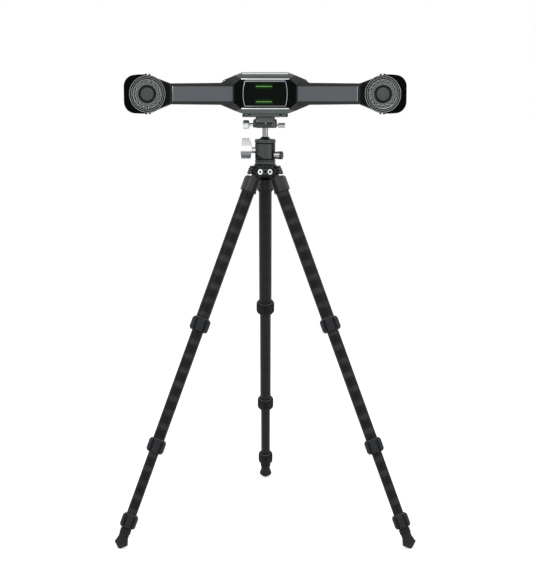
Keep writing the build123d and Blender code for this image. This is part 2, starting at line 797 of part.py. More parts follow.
with BuildPart() as clamp_jaw:
    with BuildSketch(front.offset(-clamp_depth / 2)):
        with BuildLine():
            jaw_outline(-1, jaw_left, jaw_split + body_gap, clamp_bottom + jaw_rise)
        make_face()
    extrude(amount=clamp_depth)
    with BuildSketch(left_side.offset(jaw_left)):
        with Locations((0, clamp_screw_height)):
            Circle(clamp_screw_radius + fit_gap)
    extrude(amount=-2 * (jaw_left - jaw_split), mode=Mode.SUBTRACT)
save(clamp_jaw, "clamp_jaw")

with BuildPart() as clamp_knob:
    with BuildSketch(left_side.offset(clamp_screw_start)):
        with Locations((0, clamp_screw_height)):
            Circle(clamp_screw_radius)
    extrude(amount=clamp_knob_inner - clamp_screw_start)
    with BuildSketch(left_side.offset(clamp_knob_inner)):
        with Locations((0, clamp_screw_height)):
            Circle(clamp_knob_radius)
    extrude(amount=clamp_knob_outer - clamp_knob_inner)
    chamfer(clamp_knob.edges().filter_by(GeomType.CIRCLE).group_by(SortBy.RADIUS)[-1], clamp_knob_chamfer)
save(clamp_knob, "clamp_knob")

with BuildPart() as side_knob:
    with BuildSketch(right_side.offset(side_knob_shaft_start)):
        with Locations((0, side_knob_axis_height)):
            Circle(side_knob_shaft_radius)
    extrude(amount=side_knob_inner - side_knob_shaft_start)
    with BuildSketch(right_side.offset(side_knob_inner)):
        with Locations((0, side_knob_axis_height)):
            Circle(side_knob_radius)
            with PolarLocations(side_knob_radius, side_knob_grooves):
                Rectangle(2 * small_knob_groove, small_knob_groove_width, mode=Mode.SUBTRACT)
    extrude(amount=side_knob_outer - side_knob_inner)
save(side_knob, "clamp_side_knob")

# Base plate: flat plate, boss and dovetail in the clamp
with BuildPart() as base_plate:
    with BuildSketch(front.offset(-clamp_depth / 2)):
        with BuildLine():
            Polyline(*[(x, z) for x, z in (
                (-dovetail_half_width, dovetail_bottom), (dovetail_half_width, dovetail_bottom),
                (dovetail_half_width, dovetail_shoulder),
                (dovetail_neck, dovetail_shoulder + jaw_lip), (dovetail_neck, boss_bottom),
                (plate_boss_half_width, boss_bottom), (plate_boss_half_width, plate_bottom),
                (-plate_boss_half_width, plate_bottom), (-plate_boss_half_width, boss_bottom),
                (-dovetail_neck, boss_bottom), (-dovetail_neck, dovetail_shoulder + jaw_lip),
                (-dovetail_half_width, dovetail_shoulder))], close=True)
        make_face()
    extrude(amount=clamp_depth)
    with BuildSketch(column.offset(plate_bottom)):
        RectangleRounded(plate_length, plate_depth, plate_corner)
    extrude(amount=plate_height)
    for x in (-plate_slot_spacing / 2, plate_slot_spacing / 2):
        with BuildSketch(front.offset(plate_depth / 2)):
            with Locations((x, bar_bottom - plate_slot_drop)):
                SlotOverall(plate_slot_length, plate_slot_width)
        extrude(amount=-plate_slot_depth, mode=Mode.SUBTRACT)
save(base_plate, "base_plate")


# Tracker bar: faceted centre module
def bar_plane(distance):
    """Upright plane across the view, the distance in front of the axis, centred on the bar."""
    return Plane((0, axis_y - distance, bar_middle), x_dir=(1, 0, 0), z_dir=(0, -1, 0))


top_rise = bar_top - bar_middle
bottom_drop = bar_middle - bar_bottom
arm_half = arm_height / 2
module_top = top_rise - cover_thickness
pod_rise = pod_middle - bar_middle


def mirrored(points):
    """Points of a closed outline from those of its right half."""
    return [*points, *[(-x, z) for x, z in reversed(points)]]


def module_block(near, far):
    """The centre module between two distances in front of the axis: three outlines crossed, corners cut."""
    with BuildPart() as block:
        with BuildSketch(bar_plane(far)):
            with BuildLine():
                Polyline(*mirrored([(top_half_width, module_top), (wing_half_width, module_top - wing_drop),
                                    (waist_half_width, arm_half), (waist_half_width, -arm_half),
                                    (face_half_width + underside_margin, -bottom_drop)]), close=True)
            make_face()
        extrude(amount=near - far)
        with BuildSketch(Plane((0, axis_y, bar_middle), x_dir=(0, 1, 0), z_dir=(1, 0, 0))):
            with BuildLine():
                Polyline((-bar_front, face_half_height), (hexagon_depth - bar_front, module_top),
                         (bar_back - back_chamfer, module_top), (bar_back, module_top - back_chamfer),
                         (bar_back, back_chamfer - bottom_drop), (bar_back - back_chamfer, -bottom_drop),
                         (hexagon_depth - bar_front, -bottom_drop), (-bar_front, -face_half_height), close=True)
            make_face()
        extrude(amount=waist_half_width, both=True, mode=Mode.INTERSECT)
        with BuildSketch(column.offset(bar_middle)):
            with BuildLine():
                Polyline(*mirrored([(face_half_width, -bar_front), (waist_half_width, hexagon_depth - bar_front),
                                    (waist_half_width, bar_back - 2 * back_chamfer),
                                    (waist_half_width - back_chamfer, bar_back)]), close=True)
            make_face()
        extrude(amount=bar_height, both=True, mode=Mode.INTERSECT)
        for x in (1, -1):
            for z in (1, -1):
                crease = [Vector(x * across, axis_y - ahead, bar_middle + z * up) for across, ahead, up in (
                    (face_half_width, bar_front, face_half_height - crease_corner),
                    (panel_inner, arm_front, panel_half_height),
                    (wing_half_width, bar_front - hexagon_depth, arm_half + crease_spread))]
                along = crease[1] - crease[0]
                away = along.cross(crease[2] - crease[0]) * (x * z)
                split(bisect_by=Plane(crease[0], x_dir=along, z_dir=away), keep=Keep.BOTTOM)
    return block


def window_outline(grow):
    """Display outline: level top and bottom, sides bowed out."""
    across = window_half_width + grow
    up = window_half_height + grow
    Line((-across, up), (across, up))
    ThreePointArc((across, up), (across + window_bow, 0), (across, -up))
    Line((across, -up), (-across, -up))
    ThreePointArc((-across, -up), (-across - window_bow, 0), (-across, up))


with BuildPart() as front_housing:
    add(module_block(bar_front, -bar_split).part)
    with BuildSketch(bar_plane(bar_front)):
        with BuildLine():
            window_outline(frame_width)
        make_face()
    extrude(amount=-window_thickness, mode=Mode.SUBTRACT)
    for z in (1, -1):
        with BuildSketch(bar_plane(bar_front)):
            with Locations((0, z * (face_half_height - rail_height / 2))):
                Rectangle(2 * face_half_width, rail_height)
        extrude(amount=-rail_depth, mode=Mode.SUBTRACT)
save(front_housing, "front_housing")

with BuildPart() as rear_cover:
    add(module_block(-bar_split, -bar_back).part)
    with BuildSketch(bar_plane(-bar_back)):
        Rectangle(connector_plate_length, connector_plate_height)
    extrude(amount=connector_plate_thickness, mode=Mode.SUBTRACT)
    with BuildSketch(bar_plane(connector_plate_thickness - bar_back)):
        with Locations((-connector_spacing / 2, 0), (connector_spacing / 2, 0)):
            Circle(socket_shell_radius + fit_gap)
    extrude(amount=socket_bore_depth, mode=Mode.SUBTRACT)
save(rear_cover, "rear_cover")

# Bright trim of the front face: two rails and the frame of the display
with BuildPart() as front_trim:
    for z in (1, -1):
        with BuildSketch(bar_plane(bar_front - rail_depth)):
            with Locations((0, z * (face_half_height - rail_height / 2))):
                Rectangle(2 * face_half_width, rail_height)
        extrude(amount=rail_depth + rail_proud)
    with BuildSketch(bar_plane(bar_front - window_thickness)):
        with BuildLine():
            window_outline(frame_width)
        make_face()
        with BuildLine():
            window_outline(0)
        make_face(mode=Mode.SUBTRACT)
    extrude(amount=window_thickness + frame_proud)
save(front_trim, "front_trim")

# Thin cover along the top with its folded wings
cover_tip = wing_half_width + cover_overhang
tip_drop = wing_drop * (cover_tip - top_half_width) / (wing_half_width - top_half_width)
with BuildPart() as top_cover:
    with BuildSketch(bar_plane(bar_front - hexagon_depth)):
        with BuildLine():
            Polyline(*mirrored([(top_half_width, top_rise), (cover_tip, top_rise - tip_drop),
                                (cover_tip, module_top - tip_drop), (top_half_width, module_top)]), close=True)
        make_face()
    extrude(amount=-(bar_back - back_chamfer + bar_front - hexagon_depth))
save(top_cover, "top_cover")

with BuildPart() as display_window:
    with BuildSketch(bar_plane(bar_front - window_thickness)):
        with BuildLine():
            window_outline(0)
        make_face()
    extrude(amount=window_thickness - window_sunk)
save(display_window, "display_window")

# Rear connector panel with two round sockets
with BuildPart() as connector_panel:
    with BuildSketch(bar_plane(-bar_back)):
        Rectangle(connector_plate_length, connector_plate_height)
    extrude(amount=connector_plate_thickness)
    with BuildSketch(bar_plane(-bar_back - socket_proud)):
        with Locations((-connector_spacing / 2, 0), (connector_spacing / 2, 0)):
            Circle(socket_shell_radius)
    extrude(amount=socket_proud + connector_plate_thickness + socket_bore_depth)
    with BuildSketch(bar_plane(-bar_back - socket_proud)):
        with Locations((-connector_spacing / 2, 0), (connector_spacing / 2, 0)):
            Circle(socket_bore_radius)
    extrude(amount=socket_bore_depth, mode=Mode.SUBTRACT)
save(connector_panel, "connector_panel")


def arm_outline(half_height):
    """Outline across an arm: flat front and back, its long edges cut off."""
    front_cut = half_height - panel_half_height
    Polyline((-arm_front, panel_half_height), (front_cut * arm_front_slope - arm_front, half_height),
             (arm_back - arm_chamfer, half_height), (arm_back, half_height - arm_chamfer),
             (arm_back, arm_chamfer - half_height), (arm_back - arm_chamfer, -half_height),
             (front_cut * arm_front_slope - arm_front, -half_height), (-arm_front, -panel_half_height),
             close=True)


def end_plane(x):
    return Plane((x, axis_y, bar_middle), x_dir=(0, 1, 0), z_dir=(1, 0, 0))


def make_arm(side):
    """Tapered arm with the pocket for its front panel."""
    with BuildPart() as arm:
        with BuildSketch(end_plane(side * (panel_inner - arm_overlap))):
            with BuildLine():
                arm_outline(arm_half)
            make_face()
        with BuildSketch(end_plane(side * arm_end)):
            with BuildLine():
                arm_outline(arm_half - arm_taper)
            make_face()
        loft(ruled=True)
        add(front_housing.part, mode=Mode.SUBTRACT)
        add(rear_cover.part, mode=Mode.SUBTRACT)
        with BuildSketch(bar_plane(arm_front)):
            with Locations((side * (panel_inner + panel_outer) / 2, 0)):
                Rectangle(panel_outer - panel_inner, 2 * (panel_half_height - panel_margin))
        extrude(amount=-panel_thickness, mode=Mode.SUBTRACT)
    return arm


with BuildPart() as arm_panels:
    with BuildSketch(bar_plane(arm_front - panel_thickness)):
        for side in (1, -1):
            with Locations((side * (panel_inner + panel_inset + panel_outer) / 2, 0)):
                Rectangle(panel_outer - panel_inner - panel_inset, 2 * (panel_half_height - panel_margin))
    extrude(amount=panel_thickness)
save(arm_panels, "arm_panels")


def pod_plane(side):
    """Front face of a camera pod, turned inwards: x across, y up, z towards the front."""
    toe = radians(pod_toe_in)
    return Plane((side * lens_half_span, axis_y - pod_front, pod_middle),
                 x_dir=(cos(toe), -side * sin(toe), 0), z_dir=(-side * sin(toe), -cos(toe), 0))


def pod_section(side, back):
    """Plane along a pod's axis: x across, y forwards from the distance behind its front face."""
    face = pod_plane(side).offset(-back)
    return Plane(face.origin, x_dir=face.x_dir, z_dir=-face.y_dir)


def make_pod_housing(side):
    """Round pod with a recessed front, and the neck that widens to it from the arm."""
    face = pod_plane(side)
    with BuildPart() as pod:
        with BuildSketch(end_plane(side * arm_end)):
            with BuildLine():
                arm_outline(arm_half - arm_taper)
            make_face()
        with BuildSketch(end_plane(side * neck_end)):
            with Locations((neck_shift, pod_rise)):
                RectangleRounded(neck_depth, 2 * neck_half_height, neck_corner)
        loft(ruled=True)
        with BuildSketch(pod_section(side, 0)):
            with BuildLine():
                Line((0, -pod_depth), (pod_radius - pod_back_round, -pod_depth))
                TangentArc((pod_radius - pod_back_round, -pod_depth), (pod_radius, pod_back_round - pod_depth),
                           tangent=(1, 0))
                Polyline((pod_radius, pod_back_round - pod_depth), (pod_radius, -pod_rim_chamfer),
                         (pod_radius - pod_rim_chamfer, 0), (0, 0), (0, -pod_depth))
            make_face()
        revolve(axis=Axis(face.origin, face.z_dir))
        with BuildSketch(face):
            Circle(pod_recess_radius)
        extrude(amount=-pod_recess_depth, mode=Mode.SUBTRACT)
    return pod


# Squared hoods round the outer halves of the pods, with a lip at each end
with BuildPart() as pod_bands:
    for side in (1, -1):
        rim = pod_plane(side).offset(-band_front)
        with BuildSketch(rim):
            RectangleRounded(2 * (pod_radius + band_thickness), 2 * (pod_radius + band_thickness), band_corner)
            Rectangle(2 * pod_radius, 3 * pod_radius, mode=Mode.SUBTRACT,
                      align=(Align.MAX if side > 0 else Align.MIN, Align.CENTER))
        extrude(amount=-band_depth)
        with BuildSketch(rim):
            for z in (1, -1):
                with Locations((side * band_lip, z * (pod_radius + band_lip))):
                    Circle(band_lip)
        extrude(amount=-band_lip_length)
        with BuildSketch(rim):
            Circle(pod_radius + fit_gap)
        extrude(amount=-band_depth, mode=Mode.SUBTRACT)
save(pod_bands, "pod_bands")


def make_bezel(side):
    """Front ring of a pod: outer lip, lamp ring with its wells, and the opening for the lens."""
    face = pod_plane(side)
    floor = face.offset(-pod_recess_depth)
    with BuildPart() as bezel:
        with BuildSketch(floor):
            Circle(pod_recess_radius - fit_gap)
            Circle(lens_radius + fit_gap, mode=Mode.SUBTRACT)
        extrude(amount=bezel_height)
        with BuildSketch(floor.offset(bezel_height - bezel_sunk)):
            Circle(bezel_radius - bezel_lip)
            Circle(lens_radius + bezel_lip, mode=Mode.SUBTRACT)
        extrude(amount=2 * bezel_sunk, mode=Mode.SUBTRACT)
        with BuildSketch(floor.offset(bezel_height - bezel_sunk - lamp_well_depth)):
            with PolarLocations(lamp_ring_radius, lamp_count, start_angle=90):
                Circle(lamp_radius)
        extrude(amount=2 * lamp_well_depth, mode=Mode.SUBTRACT)
    return bezel


def make_lens(side):
    """Lens with its dark rim and a slightly domed front glass."""
    floor = pod_plane(side).offset(-pod_recess_depth)
    with BuildPart() as lens:
        with BuildSketch(pod_section(side, pod_recess_depth)):
            with BuildLine():
                Polyline((0, glass_crown), (0, 0), (lens_radius, 0), (lens_radius, rim_height),
                         (lens_radius - rim_slope, rim_height + rim_crest),
                         (lens_glass_radius + rim_crest, glass_edge + rim_slope), (lens_glass_radius, glass_edge))
                TangentArc((0, glass_crown), (lens_glass_radius, glass_edge), tangent=(1, 0))
            make_face()
        revolve(axis=Axis(floor.origin, floor.z_dir))
    return lens


for side, side_name in ((-1, "left"), (1, "right")):
    save(make_arm(side), f"{side_name}_arm")
    save(make_pod_housing(side), f"{side_name}_pod_housing")
    save(make_bezel(side), f"{side_name}_pod_bezel")
    save(make_lens(side), f"{side_name}_lens")
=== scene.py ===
import json
from math import atan2, cos, pi, radians, sin

import bmesh
import bpy
from mathutils import Matrix, Vector


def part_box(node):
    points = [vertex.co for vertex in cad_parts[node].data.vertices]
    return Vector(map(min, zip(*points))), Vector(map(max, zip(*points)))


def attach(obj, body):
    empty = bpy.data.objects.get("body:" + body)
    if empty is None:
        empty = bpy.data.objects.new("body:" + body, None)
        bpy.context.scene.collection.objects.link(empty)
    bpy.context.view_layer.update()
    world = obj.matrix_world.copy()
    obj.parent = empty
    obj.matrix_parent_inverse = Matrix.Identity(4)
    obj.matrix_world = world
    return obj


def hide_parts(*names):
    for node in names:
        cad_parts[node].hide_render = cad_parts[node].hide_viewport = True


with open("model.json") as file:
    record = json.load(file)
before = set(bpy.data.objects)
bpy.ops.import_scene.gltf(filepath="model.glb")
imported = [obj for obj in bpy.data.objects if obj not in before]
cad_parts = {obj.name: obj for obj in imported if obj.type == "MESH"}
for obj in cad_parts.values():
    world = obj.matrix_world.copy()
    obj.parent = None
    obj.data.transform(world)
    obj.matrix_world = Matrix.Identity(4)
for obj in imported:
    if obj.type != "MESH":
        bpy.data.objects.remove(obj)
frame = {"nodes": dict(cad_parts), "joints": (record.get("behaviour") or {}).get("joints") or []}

scene = bpy.context.scene
nodes = frame["nodes"]
joints = {joint["name"]: joint for joint in frame["joints"]}
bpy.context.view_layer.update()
mm = 0.001
print("frame loaded:", len(nodes), "nodes")


# nodes of any tree

def feed(tree, node, feeds):
    # feeds gives the inputs by name or number, as sockets or as plain values
    for key, value in feeds.items():
        if isinstance(value, bpy.types.NodeSocket):
            tree.links.new(value, node.inputs[key])
        else:
            node.inputs[key].default_value = value


def addNode(tree, kind, feeds, **settings):
    node = tree.nodes.new(kind)
    for key, value in settings.items():
        setattr(node, key, value)
    feed(tree, node, feeds)
    return node.outputs


def math(tree, operation, *values, clamp=False):
    return addNode(tree, "ShaderNodeMath", dict(enumerate(values)), operation=operation, use_clamp=clamp)[0]


def mixedShader(tree, factor, first, second):
    return addNode(tree, "ShaderNodeMixShader", {0: factor, 1: first, 2: second})[0]


def seenOnly(tree):
    # 1 for rays from the camera and for those that reflect or pass through glass
    path = addNode(tree, "ShaderNodeLightPath", {})
    seen = math(tree, "MAXIMUM", path["Is Camera Ray"], path["Is Glossy Ray"])
    return math(tree, "MAXIMUM", seen, path["Is Transmission Ray"])


# camera, lamps and floor

camera = {
    "place": (0.0069, -3.3227, 1.0722),   # metres, level with the bar
    "pitchedDown": 8.35,                  # degrees
    "lens": 81.04,
}

studio = {
    "floorColour": (0.86, 0.86, 0.86),
    "floorHalf": 40,          # metres
    "floorGlow": 0.56,        # lifts the floor to white for the camera, shadows stay
    "skyLight": 0.55,         # what the world gives to matt surfaces
    "lampsAim": (0, 0, 0.8),
    "lamps": {
        "keyLamp": {"place": (-1.6, -2.4, 2.6), "size": 1.6, "power": 34},
        "fillLamp": {"place": (2.2, -1.8, 1.6), "size": 1.8, "power": 16},
        "rimLamp": {"place": (1.6, 1.8, 2.6), "size": 1.0, "power": 14},
    },
}


def makeCamera():
    cam = bpy.data.objects.new("camera", bpy.data.cameras.new("camera"))
    scene.collection.objects.link(cam)
    cam.location = camera["place"]
    cam.rotation_euler = (radians(90 - camera["pitchedDown"]), 0, 0)
    cam.data.lens = camera["lens"]
    scene.camera = cam


def makeWorld():
    world = bpy.data.worlds.new("whiteStudio")
    world.use_nodes = True
    tree = world.node_tree
    tree.nodes.clear()
    soft, white = [addNode(tree, "ShaderNodeBackground", {"Color": (1, 1, 1, 1), "Strength": strength})[0]
                   for strength in (studio["skyLight"], 1)]
    sky = mixedShader(tree, seenOnly(tree), soft, white)
    addNode(tree, "ShaderNodeOutputWorld", {0: sky})
    scene.world = world


def makeLamps():
    for name, lamp in studio["lamps"].items():
        light = bpy.data.lights.new(name, "AREA")
        light.shape = "DISK"
        light.size = lamp["size"]
        light.energy = lamp["power"]
        obj = bpy.data.objects.new(name, light)
        scene.collection.objects.link(obj)
        obj.location = lamp["place"]
        aim = Vector(studio["lampsAim"]) - obj.location
        obj.rotation_euler = aim.to_track_quat("-Z", "Y").to_euler()


def makeFloor():
    mat = bpy.data.materials.new("paleFloor")
    mat.use_nodes = True
    tree = mat.node_tree
    tree.nodes.clear()
    matt = addNode(tree, "ShaderNodeBsdfDiffuse", {"Color": (*studio["floorColour"], 1)})[0]
    dark, glow = [addNode(tree, "ShaderNodeEmission", {"Strength": strength})[0]
                  for strength in (0, studio["floorGlow"])]
    lifted = mixedShader(tree, seenOnly(tree), dark, glow)
    whole = addNode(tree, "ShaderNodeAddShader", {0: matt, 1: lifted})[0]
    addNode(tree, "ShaderNodeOutputMaterial", {0: whole})
    mesh = bpy.data.meshes.new("floor")
    half = studio["floorHalf"]
    corners = [(x * half, y * half, 0) for x, y in ((-1, -1), (1, -1), (1, 1), (-1, 1))]
    mesh.from_pydata(corners, [], [(0, 1, 2, 3)])
    floor = bpy.data.objects.new("floor", mesh)
    scene.collection.objects.link(floor)
    floor.data.materials.append(mat)


scene.view_settings.view_transform = "Standard"
makeCamera()
makeWorld()
makeLamps()
makeFloor()
print("camera, lamps and floor made")


# materials

def srgb(*channels):
    # colours are given as they look in the picture, 0 to 255
    shares = [channel / 255 for channel in channels]
    return tuple(s / 12.92 if s <= 0.04045 else ((s + 0.055) / 1.055) ** 2.4 for s in shares)


def darker(colour, share):
    return tuple(c * share for c in colour)


def newMaterial(name, shine=0.5):
    mat = bpy.data.materials.new(name)
    mat.use_nodes = True
    shader = mat.node_tree.nodes["Principled BSDF"]
    feed(mat.node_tree, shader, {"Specular IOR Level": shine})
    return mat, mat.node_tree, shader


def mapped(tree, point, setting, value):
    return addNode(tree, "ShaderNodeMapping", {"Vector": point, setting: value}, vector_type="POINT")[0]


def objectPoint(tree, centre=None, turn=None):
    # Object coordinates, moved to a piece's own centre and turned along it where that is asked
    point = addNode(tree, "ShaderNodeTexCoord", {})["Object"]
    if centre is not None:
        point = mapped(tree, point, "Location", -Vector(centre))
    if turn is not None:
        point = mapped(tree, point, "Rotation", turn)
    return point


def separated(tree, point):
    return addNode(tree, "ShaderNodeSeparateXYZ", {0: point})


def noise(tree, point, scale, detail, stretch=None):
    if stretch is not None:
        point = mapped(tree, point, "Scale", stretch)
    return addNode(tree, "ShaderNodeTexNoise", {"Vector": point, "Scale": scale, "Detail": detail})["Fac"]


def ramp(tree, factor, first, second, places=(0.3, 0.7)):
    colour = addNode(tree, "ShaderNodeValToRGB", {"Fac": factor})["Color"]
    for element, place, shade in zip(colour.node.color_ramp.elements, places, (first, second)):
        element.position = place
        element.color = (*shade, 1)
    return colour


def spread(tree, factor, low, high):
    return addNode(tree, "ShaderNodeMapRange", {"Value": factor, "From Min": 0.3, "From Max": 0.7,
                                                "To Min": low, "To Max": high})["Result"]


def blendColours(tree, factor, first, second, mode="MIX"):
    # a colour is a socket or three plain numbers
    first, second = [(*colour, 1) if isinstance(colour, tuple) else colour for colour in (first, second)]
    return addNode(tree, "ShaderNodeMix", {0: factor, 6: first, 7: second}, data_type="RGBA",
                   blend_type=mode)[2]


def bump(tree, height, strength, distance):
    return addNode(tree, "ShaderNodeBump", {"Height": height, "Strength": strength, "Distance": distance})[0]


def texturedPlastic(name, colour, rough, shine, patchy=0.12, depth=0.00008):
    # moulded plastic: spark-eroded grain, faint cloudiness and handling marks in the gloss
    mat, tree, shader = newMaterial(name, shine)
    colour = srgb(*colour)
    point = objectPoint(tree)
    cloud, marks, grain = noise(tree, point, 22, 4), noise(tree, point, 60, 5), noise(tree, point, 900, 2)
    low, high = darker(colour, 1 - patchy), darker(colour, 1 + patchy)
    feed(tree, shader, {"Base Color": ramp(tree, cloud, low, high), "Roughness": spread(tree, marks, *rough),
                        "Normal": bump(tree, grain, 0.35, depth)})
    return mat


def brushedMetal(name, colour, rough, fineness, stretch, metallic=1.0):
    # turned or brushed metal: fine lines along one direction
    mat, tree, shader = newMaterial(name)
    colour = srgb(*colour)
    streak = noise(tree, objectPoint(tree), fineness, 4, stretch)
    feed(tree, shader, {"Base Color": ramp(tree, streak, darker(colour, 0.9), darker(colour, 1.06)),
                        "Metallic": metallic, "Roughness": spread(tree, streak, *rough),
                        "Normal": bump(tree, streak, 0.3, 0.00004)})
    return mat


def mouldedRubber(name, colour):
    mat, tree, shader = newMaterial(name, 0.16)
    colour = srgb(*colour)
    point = objectPoint(tree)
    dust, grain = noise(tree, point, 120, 5), noise(tree, point, 1500, 2)
    dusty = ramp(tree, dust, darker(colour, 0.85), darker(colour, 1.3), (0.35, 0.75))
    feed(tree, shader, {"Base Color": dusty, "Roughness": spread(tree, dust, 0.55, 0.72),
                        "Normal": bump(tree, grain, 0.3, 0.00006)})
    return mat


def partedFinish(name, coordinate, limit, below, above):
    # two finishes on one piece, parted where a coordinate passes a limit in metres;
    # each is (colour, metallic, roughness, specular level)
    mat, tree, shader = newMaterial(name)
    side = math(tree, "GREATER_THAN", coordinate(tree), limit)
    cloud = noise(tree, objectPoint(tree), 260, 4)
    shade = ramp(tree, cloud, (0.9, 0.9, 0.9), (1.0, 1.0, 1.0))
    colour = blendColours(tree, side, srgb(*below[0]), srgb(*above[0]))
    feed(tree, shader, {"Base Color": blendColours(tree, 1.0, colour, shade, "MULTIPLY"),
                        "Normal": bump(tree, cloud, 0.3, 0.00004)})
    for label, i in (("Metallic", 1), ("Roughness", 2), ("Specular IOR Level", 3)):
        feed(tree, shader, {label: math(tree, "MULTIPLY_ADD", side, above[i] - below[i], below[i])})
    return mat


# coordinates that part a finish

def distanceAlong(direction):
    def build(tree):
        return addNode(tree, "ShaderNodeVectorMath", {0: objectPoint(tree), 1: direction},
                       operation="DOT_PRODUCT")["Value"]
    return build


def distanceFromAxis(centre):
    def build(tree):
        flat = mapped(tree, objectPoint(tree, centre), "Scale", (1, 1, 0))
        return addNode(tree, "ShaderNodeVectorMath", {0: flat}, operation="LENGTH")["Value"]
    return build


def heightOnRim(endFace):
    # the height, with a metre added past an end face, so that the face counts as high all over
    def build(tree):
        x, y, z = separated(tree, objectPoint(tree))
        return math(tree, "ADD", z, math(tree, "LESS_THAN", x, endFace))
    return build


def outwards(centre, rise, least):
    # how far out a point lies, across and up together; nothing below the least height
    def build(tree):
        x, y, z = [math(tree, "ABSOLUTE", value) for value in separated(tree, objectPoint(tree, centre))]
        far = math(tree, "ADD", z, math(tree, "MULTIPLY", x, rise))
        return math(tree, "MULTIPLY", far, math(tree, "GREATER_THAN", z, least))
    return build


def middle(name):
    low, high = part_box(name)
    return (low + high) / 2


plastics = {      # colour, roughness, specular level, then cloudiness and depth of grain where they differ
    "armPlastic": ((18, 21, 23), (0.3, 0.4), 0.2),
    "podPlastic": ((9, 11, 11), (0.26, 0.34), 0.06),
    "hoodPlastic": ((12, 14, 14), (0.4, 0.5), 0.0),
    "greyPanel": ((86, 90, 94), (0.42, 0.5), 0.3, 0.05),
    "bandGrey": ((84, 92, 93), (0.36, 0.46), 0.3, 0.05),
    "revealGrey": ((104, 107, 112), (0.36, 0.46), 0.3, 0.05),
    "slopeGrey": ((58, 64, 66), (0.36, 0.46), 0.1, 0.05),
    "ringPlastic": ((92, 96, 96), (0.38, 0.48), 0.25, 0.06),
    "frameGrey": ((84, 86, 88), (0.36, 0.46), 0.4),
    "blackCasting": ((18, 20, 20), (0.32, 0.44), 0.25),
    "glossBlack": ((6, 7, 7), (0.08, 0.12), 0.14, 0.12, 0.00001),
    # dark lines and joints, and dark sheets that paint the shade inside slots, sockets and wells
    "darkLine": ((5, 6, 6), (0.5, 0.6), 0.05, 0.12, 0.00001),
    "lampDome": ((10, 11, 11), (0.1, 0.16), 0.14, 0.06, 0.00001),
}

metals = {        # colour, roughness, fineness and stretch of the lines, then metallic where it isn't 1
    "headMetal": ((66, 70, 69), (0.36, 0.48), 300, (1, 1, 12), 0.6),
    "clampMetal": ((52, 56, 55), (0.36, 0.48), 300, (1, 12, 12), 0.5),
    "plateMetal": ((88, 92, 91), (0.34, 0.46), 300, (1, 12, 12), 0.6),
    "polished": ((222, 226, 226), (0.08, 0.16), 200, (1, 12, 12)),
    "polishedBright": ((232, 235, 235), (0.16, 0.26), 200, (1, 12, 12)),
    "stemMetal": ((142, 146, 146), (0.14, 0.24), 200, (1, 1, 12)),
    "ringMetal": ((168, 172, 171), (0.24, 0.36), 300, (1, 1, 1)),
    "clampKnob": ((212, 216, 218), (0.22, 0.32), 260, (14, 1, 1)),
    "smallKnob": ((178, 182, 184), (0.26, 0.36), 260, (14, 1, 1)),
}

rubbers = {
    # pads of the rear leg's collars: darker than the other legs' pads, as painted shade
    "rubber": (17, 17, 18),
    "footRubber": (33, 34, 36),
    "collarRubber": (16, 16, 19),
    "collarPad": (40, 42, 46),
    "collarLine": (112, 112, 116),
}

panKnobAim = radians(22)      # the pan knob points this far forward of sideways

partedFinishes = {            # coordinate, limit in metres, finish below it, finish above it
    "moduleFront": (outwards(middle("display_window"), 0.84, 0.0195), 0.085,
                    ((7, 10, 9), 0.0, 0.35, 0.03), ((48, 51, 49), 0.0, 0.46, 0.15)),
    "housing": (distanceFromAxis((0, joints["head_pan"]["pos_m"][1], 0)), 0.0252,
                ((20, 23, 22), 0.3, 0.4, 0.2), ((66, 70, 69), 0.5, 0.4, 0.3)),
    # main knob: painted darker grey below this height, a painted shade on its downward side; above it and on
    # its end face it keeps its bright metal
    "mainKnob": (heightOnRim(-0.0598), 0.9445,
                 ((140, 144, 147), 0.9, 0.42, 0.5), ((244, 246, 248), 0.7, 0.4, 0.5)),
    "panKnob": (distanceAlong((cos(panKnobAim), -sin(panKnobAim), 0)), 0.0785,
                ((150, 152, 152), 0.9, 0.32, 0.5), ((10, 11, 11), 0.0, 0.3, 0.2)),
}

finishes = {}
for maker, given in ((texturedPlastic, plastics), (brushedMetal, metals), (partedFinish, partedFinishes)):
    for name, values in given.items():
        finishes[name] = maker(name, *values)
for name, colour in rubbers.items():
    finishes[name] = mouldedRubber(name, colour)

worn = {          # the finish of each CAD node that stays in sight
    "blackCasting": ("top_plate", "ball"),
    "polished": ("crown_bolts",),
    "headMetal": ("pan_base",),
    "housing": ("head_housing",),
    "mainKnob": ("main_lock_knob",),
    "panKnob": ("pan_lock_knob",),
    "stemMetal": ("stem",),
    "clampMetal": ("clamp_body", "clamp_jaw"),
    "clampKnob": ("clamp_knob",),
    "smallKnob": ("clamp_side_knob",),
    "plateMetal": ("base_plate", "connector_panel"),
    "moduleFront": ("front_housing",),
    "armPlastic": ("rear_cover", "top_cover", "left_arm", "right_arm"),
    "greyPanel": ("arm_panels",),
    "hoodPlastic": ("pod_bands",),
    "podPlastic": ("left_pod_housing", "right_pod_housing"),
    "ringPlastic": ("left_pod_bezel", "right_pod_bezel"),
    "footRubber": ("left_foot", "right_foot", "rear_foot"),
}


def paint(name, mat):
    node = nodes[name]
    node.data.materials.clear()
    node.data.materials.append(mat)


for finish, names in worn.items():
    for name in names:
        paint(name, finishes[finish])


# legs: carbon tubes and cast heads

tubeRadii = (16.2, 14.3, 12.4, 10.5)      # mm

carbon = {
    "dark": srgb(12, 12, 13),
    "light": srgb(50, 52, 53),
    "shine": 0.1,
    "thread": 2.2 * mm,        # width of one tow of the twill
    "threadShare": 0.3,        # how much of the twill shows
    "windPitch": 36 * mm,      # a winding climbs this far in one turn
    "shade": 0.3,              # share of the light colour, halfway through the patches
    "patchMean": 0.18,         # of the patches along the front
    # strength of the painted sheen on each leg's patches; the rear leg's low value paints it darker, as shade
    "sheenMottle": {"left": 2.2, "right": 2.2, "rear": 0.3},
}

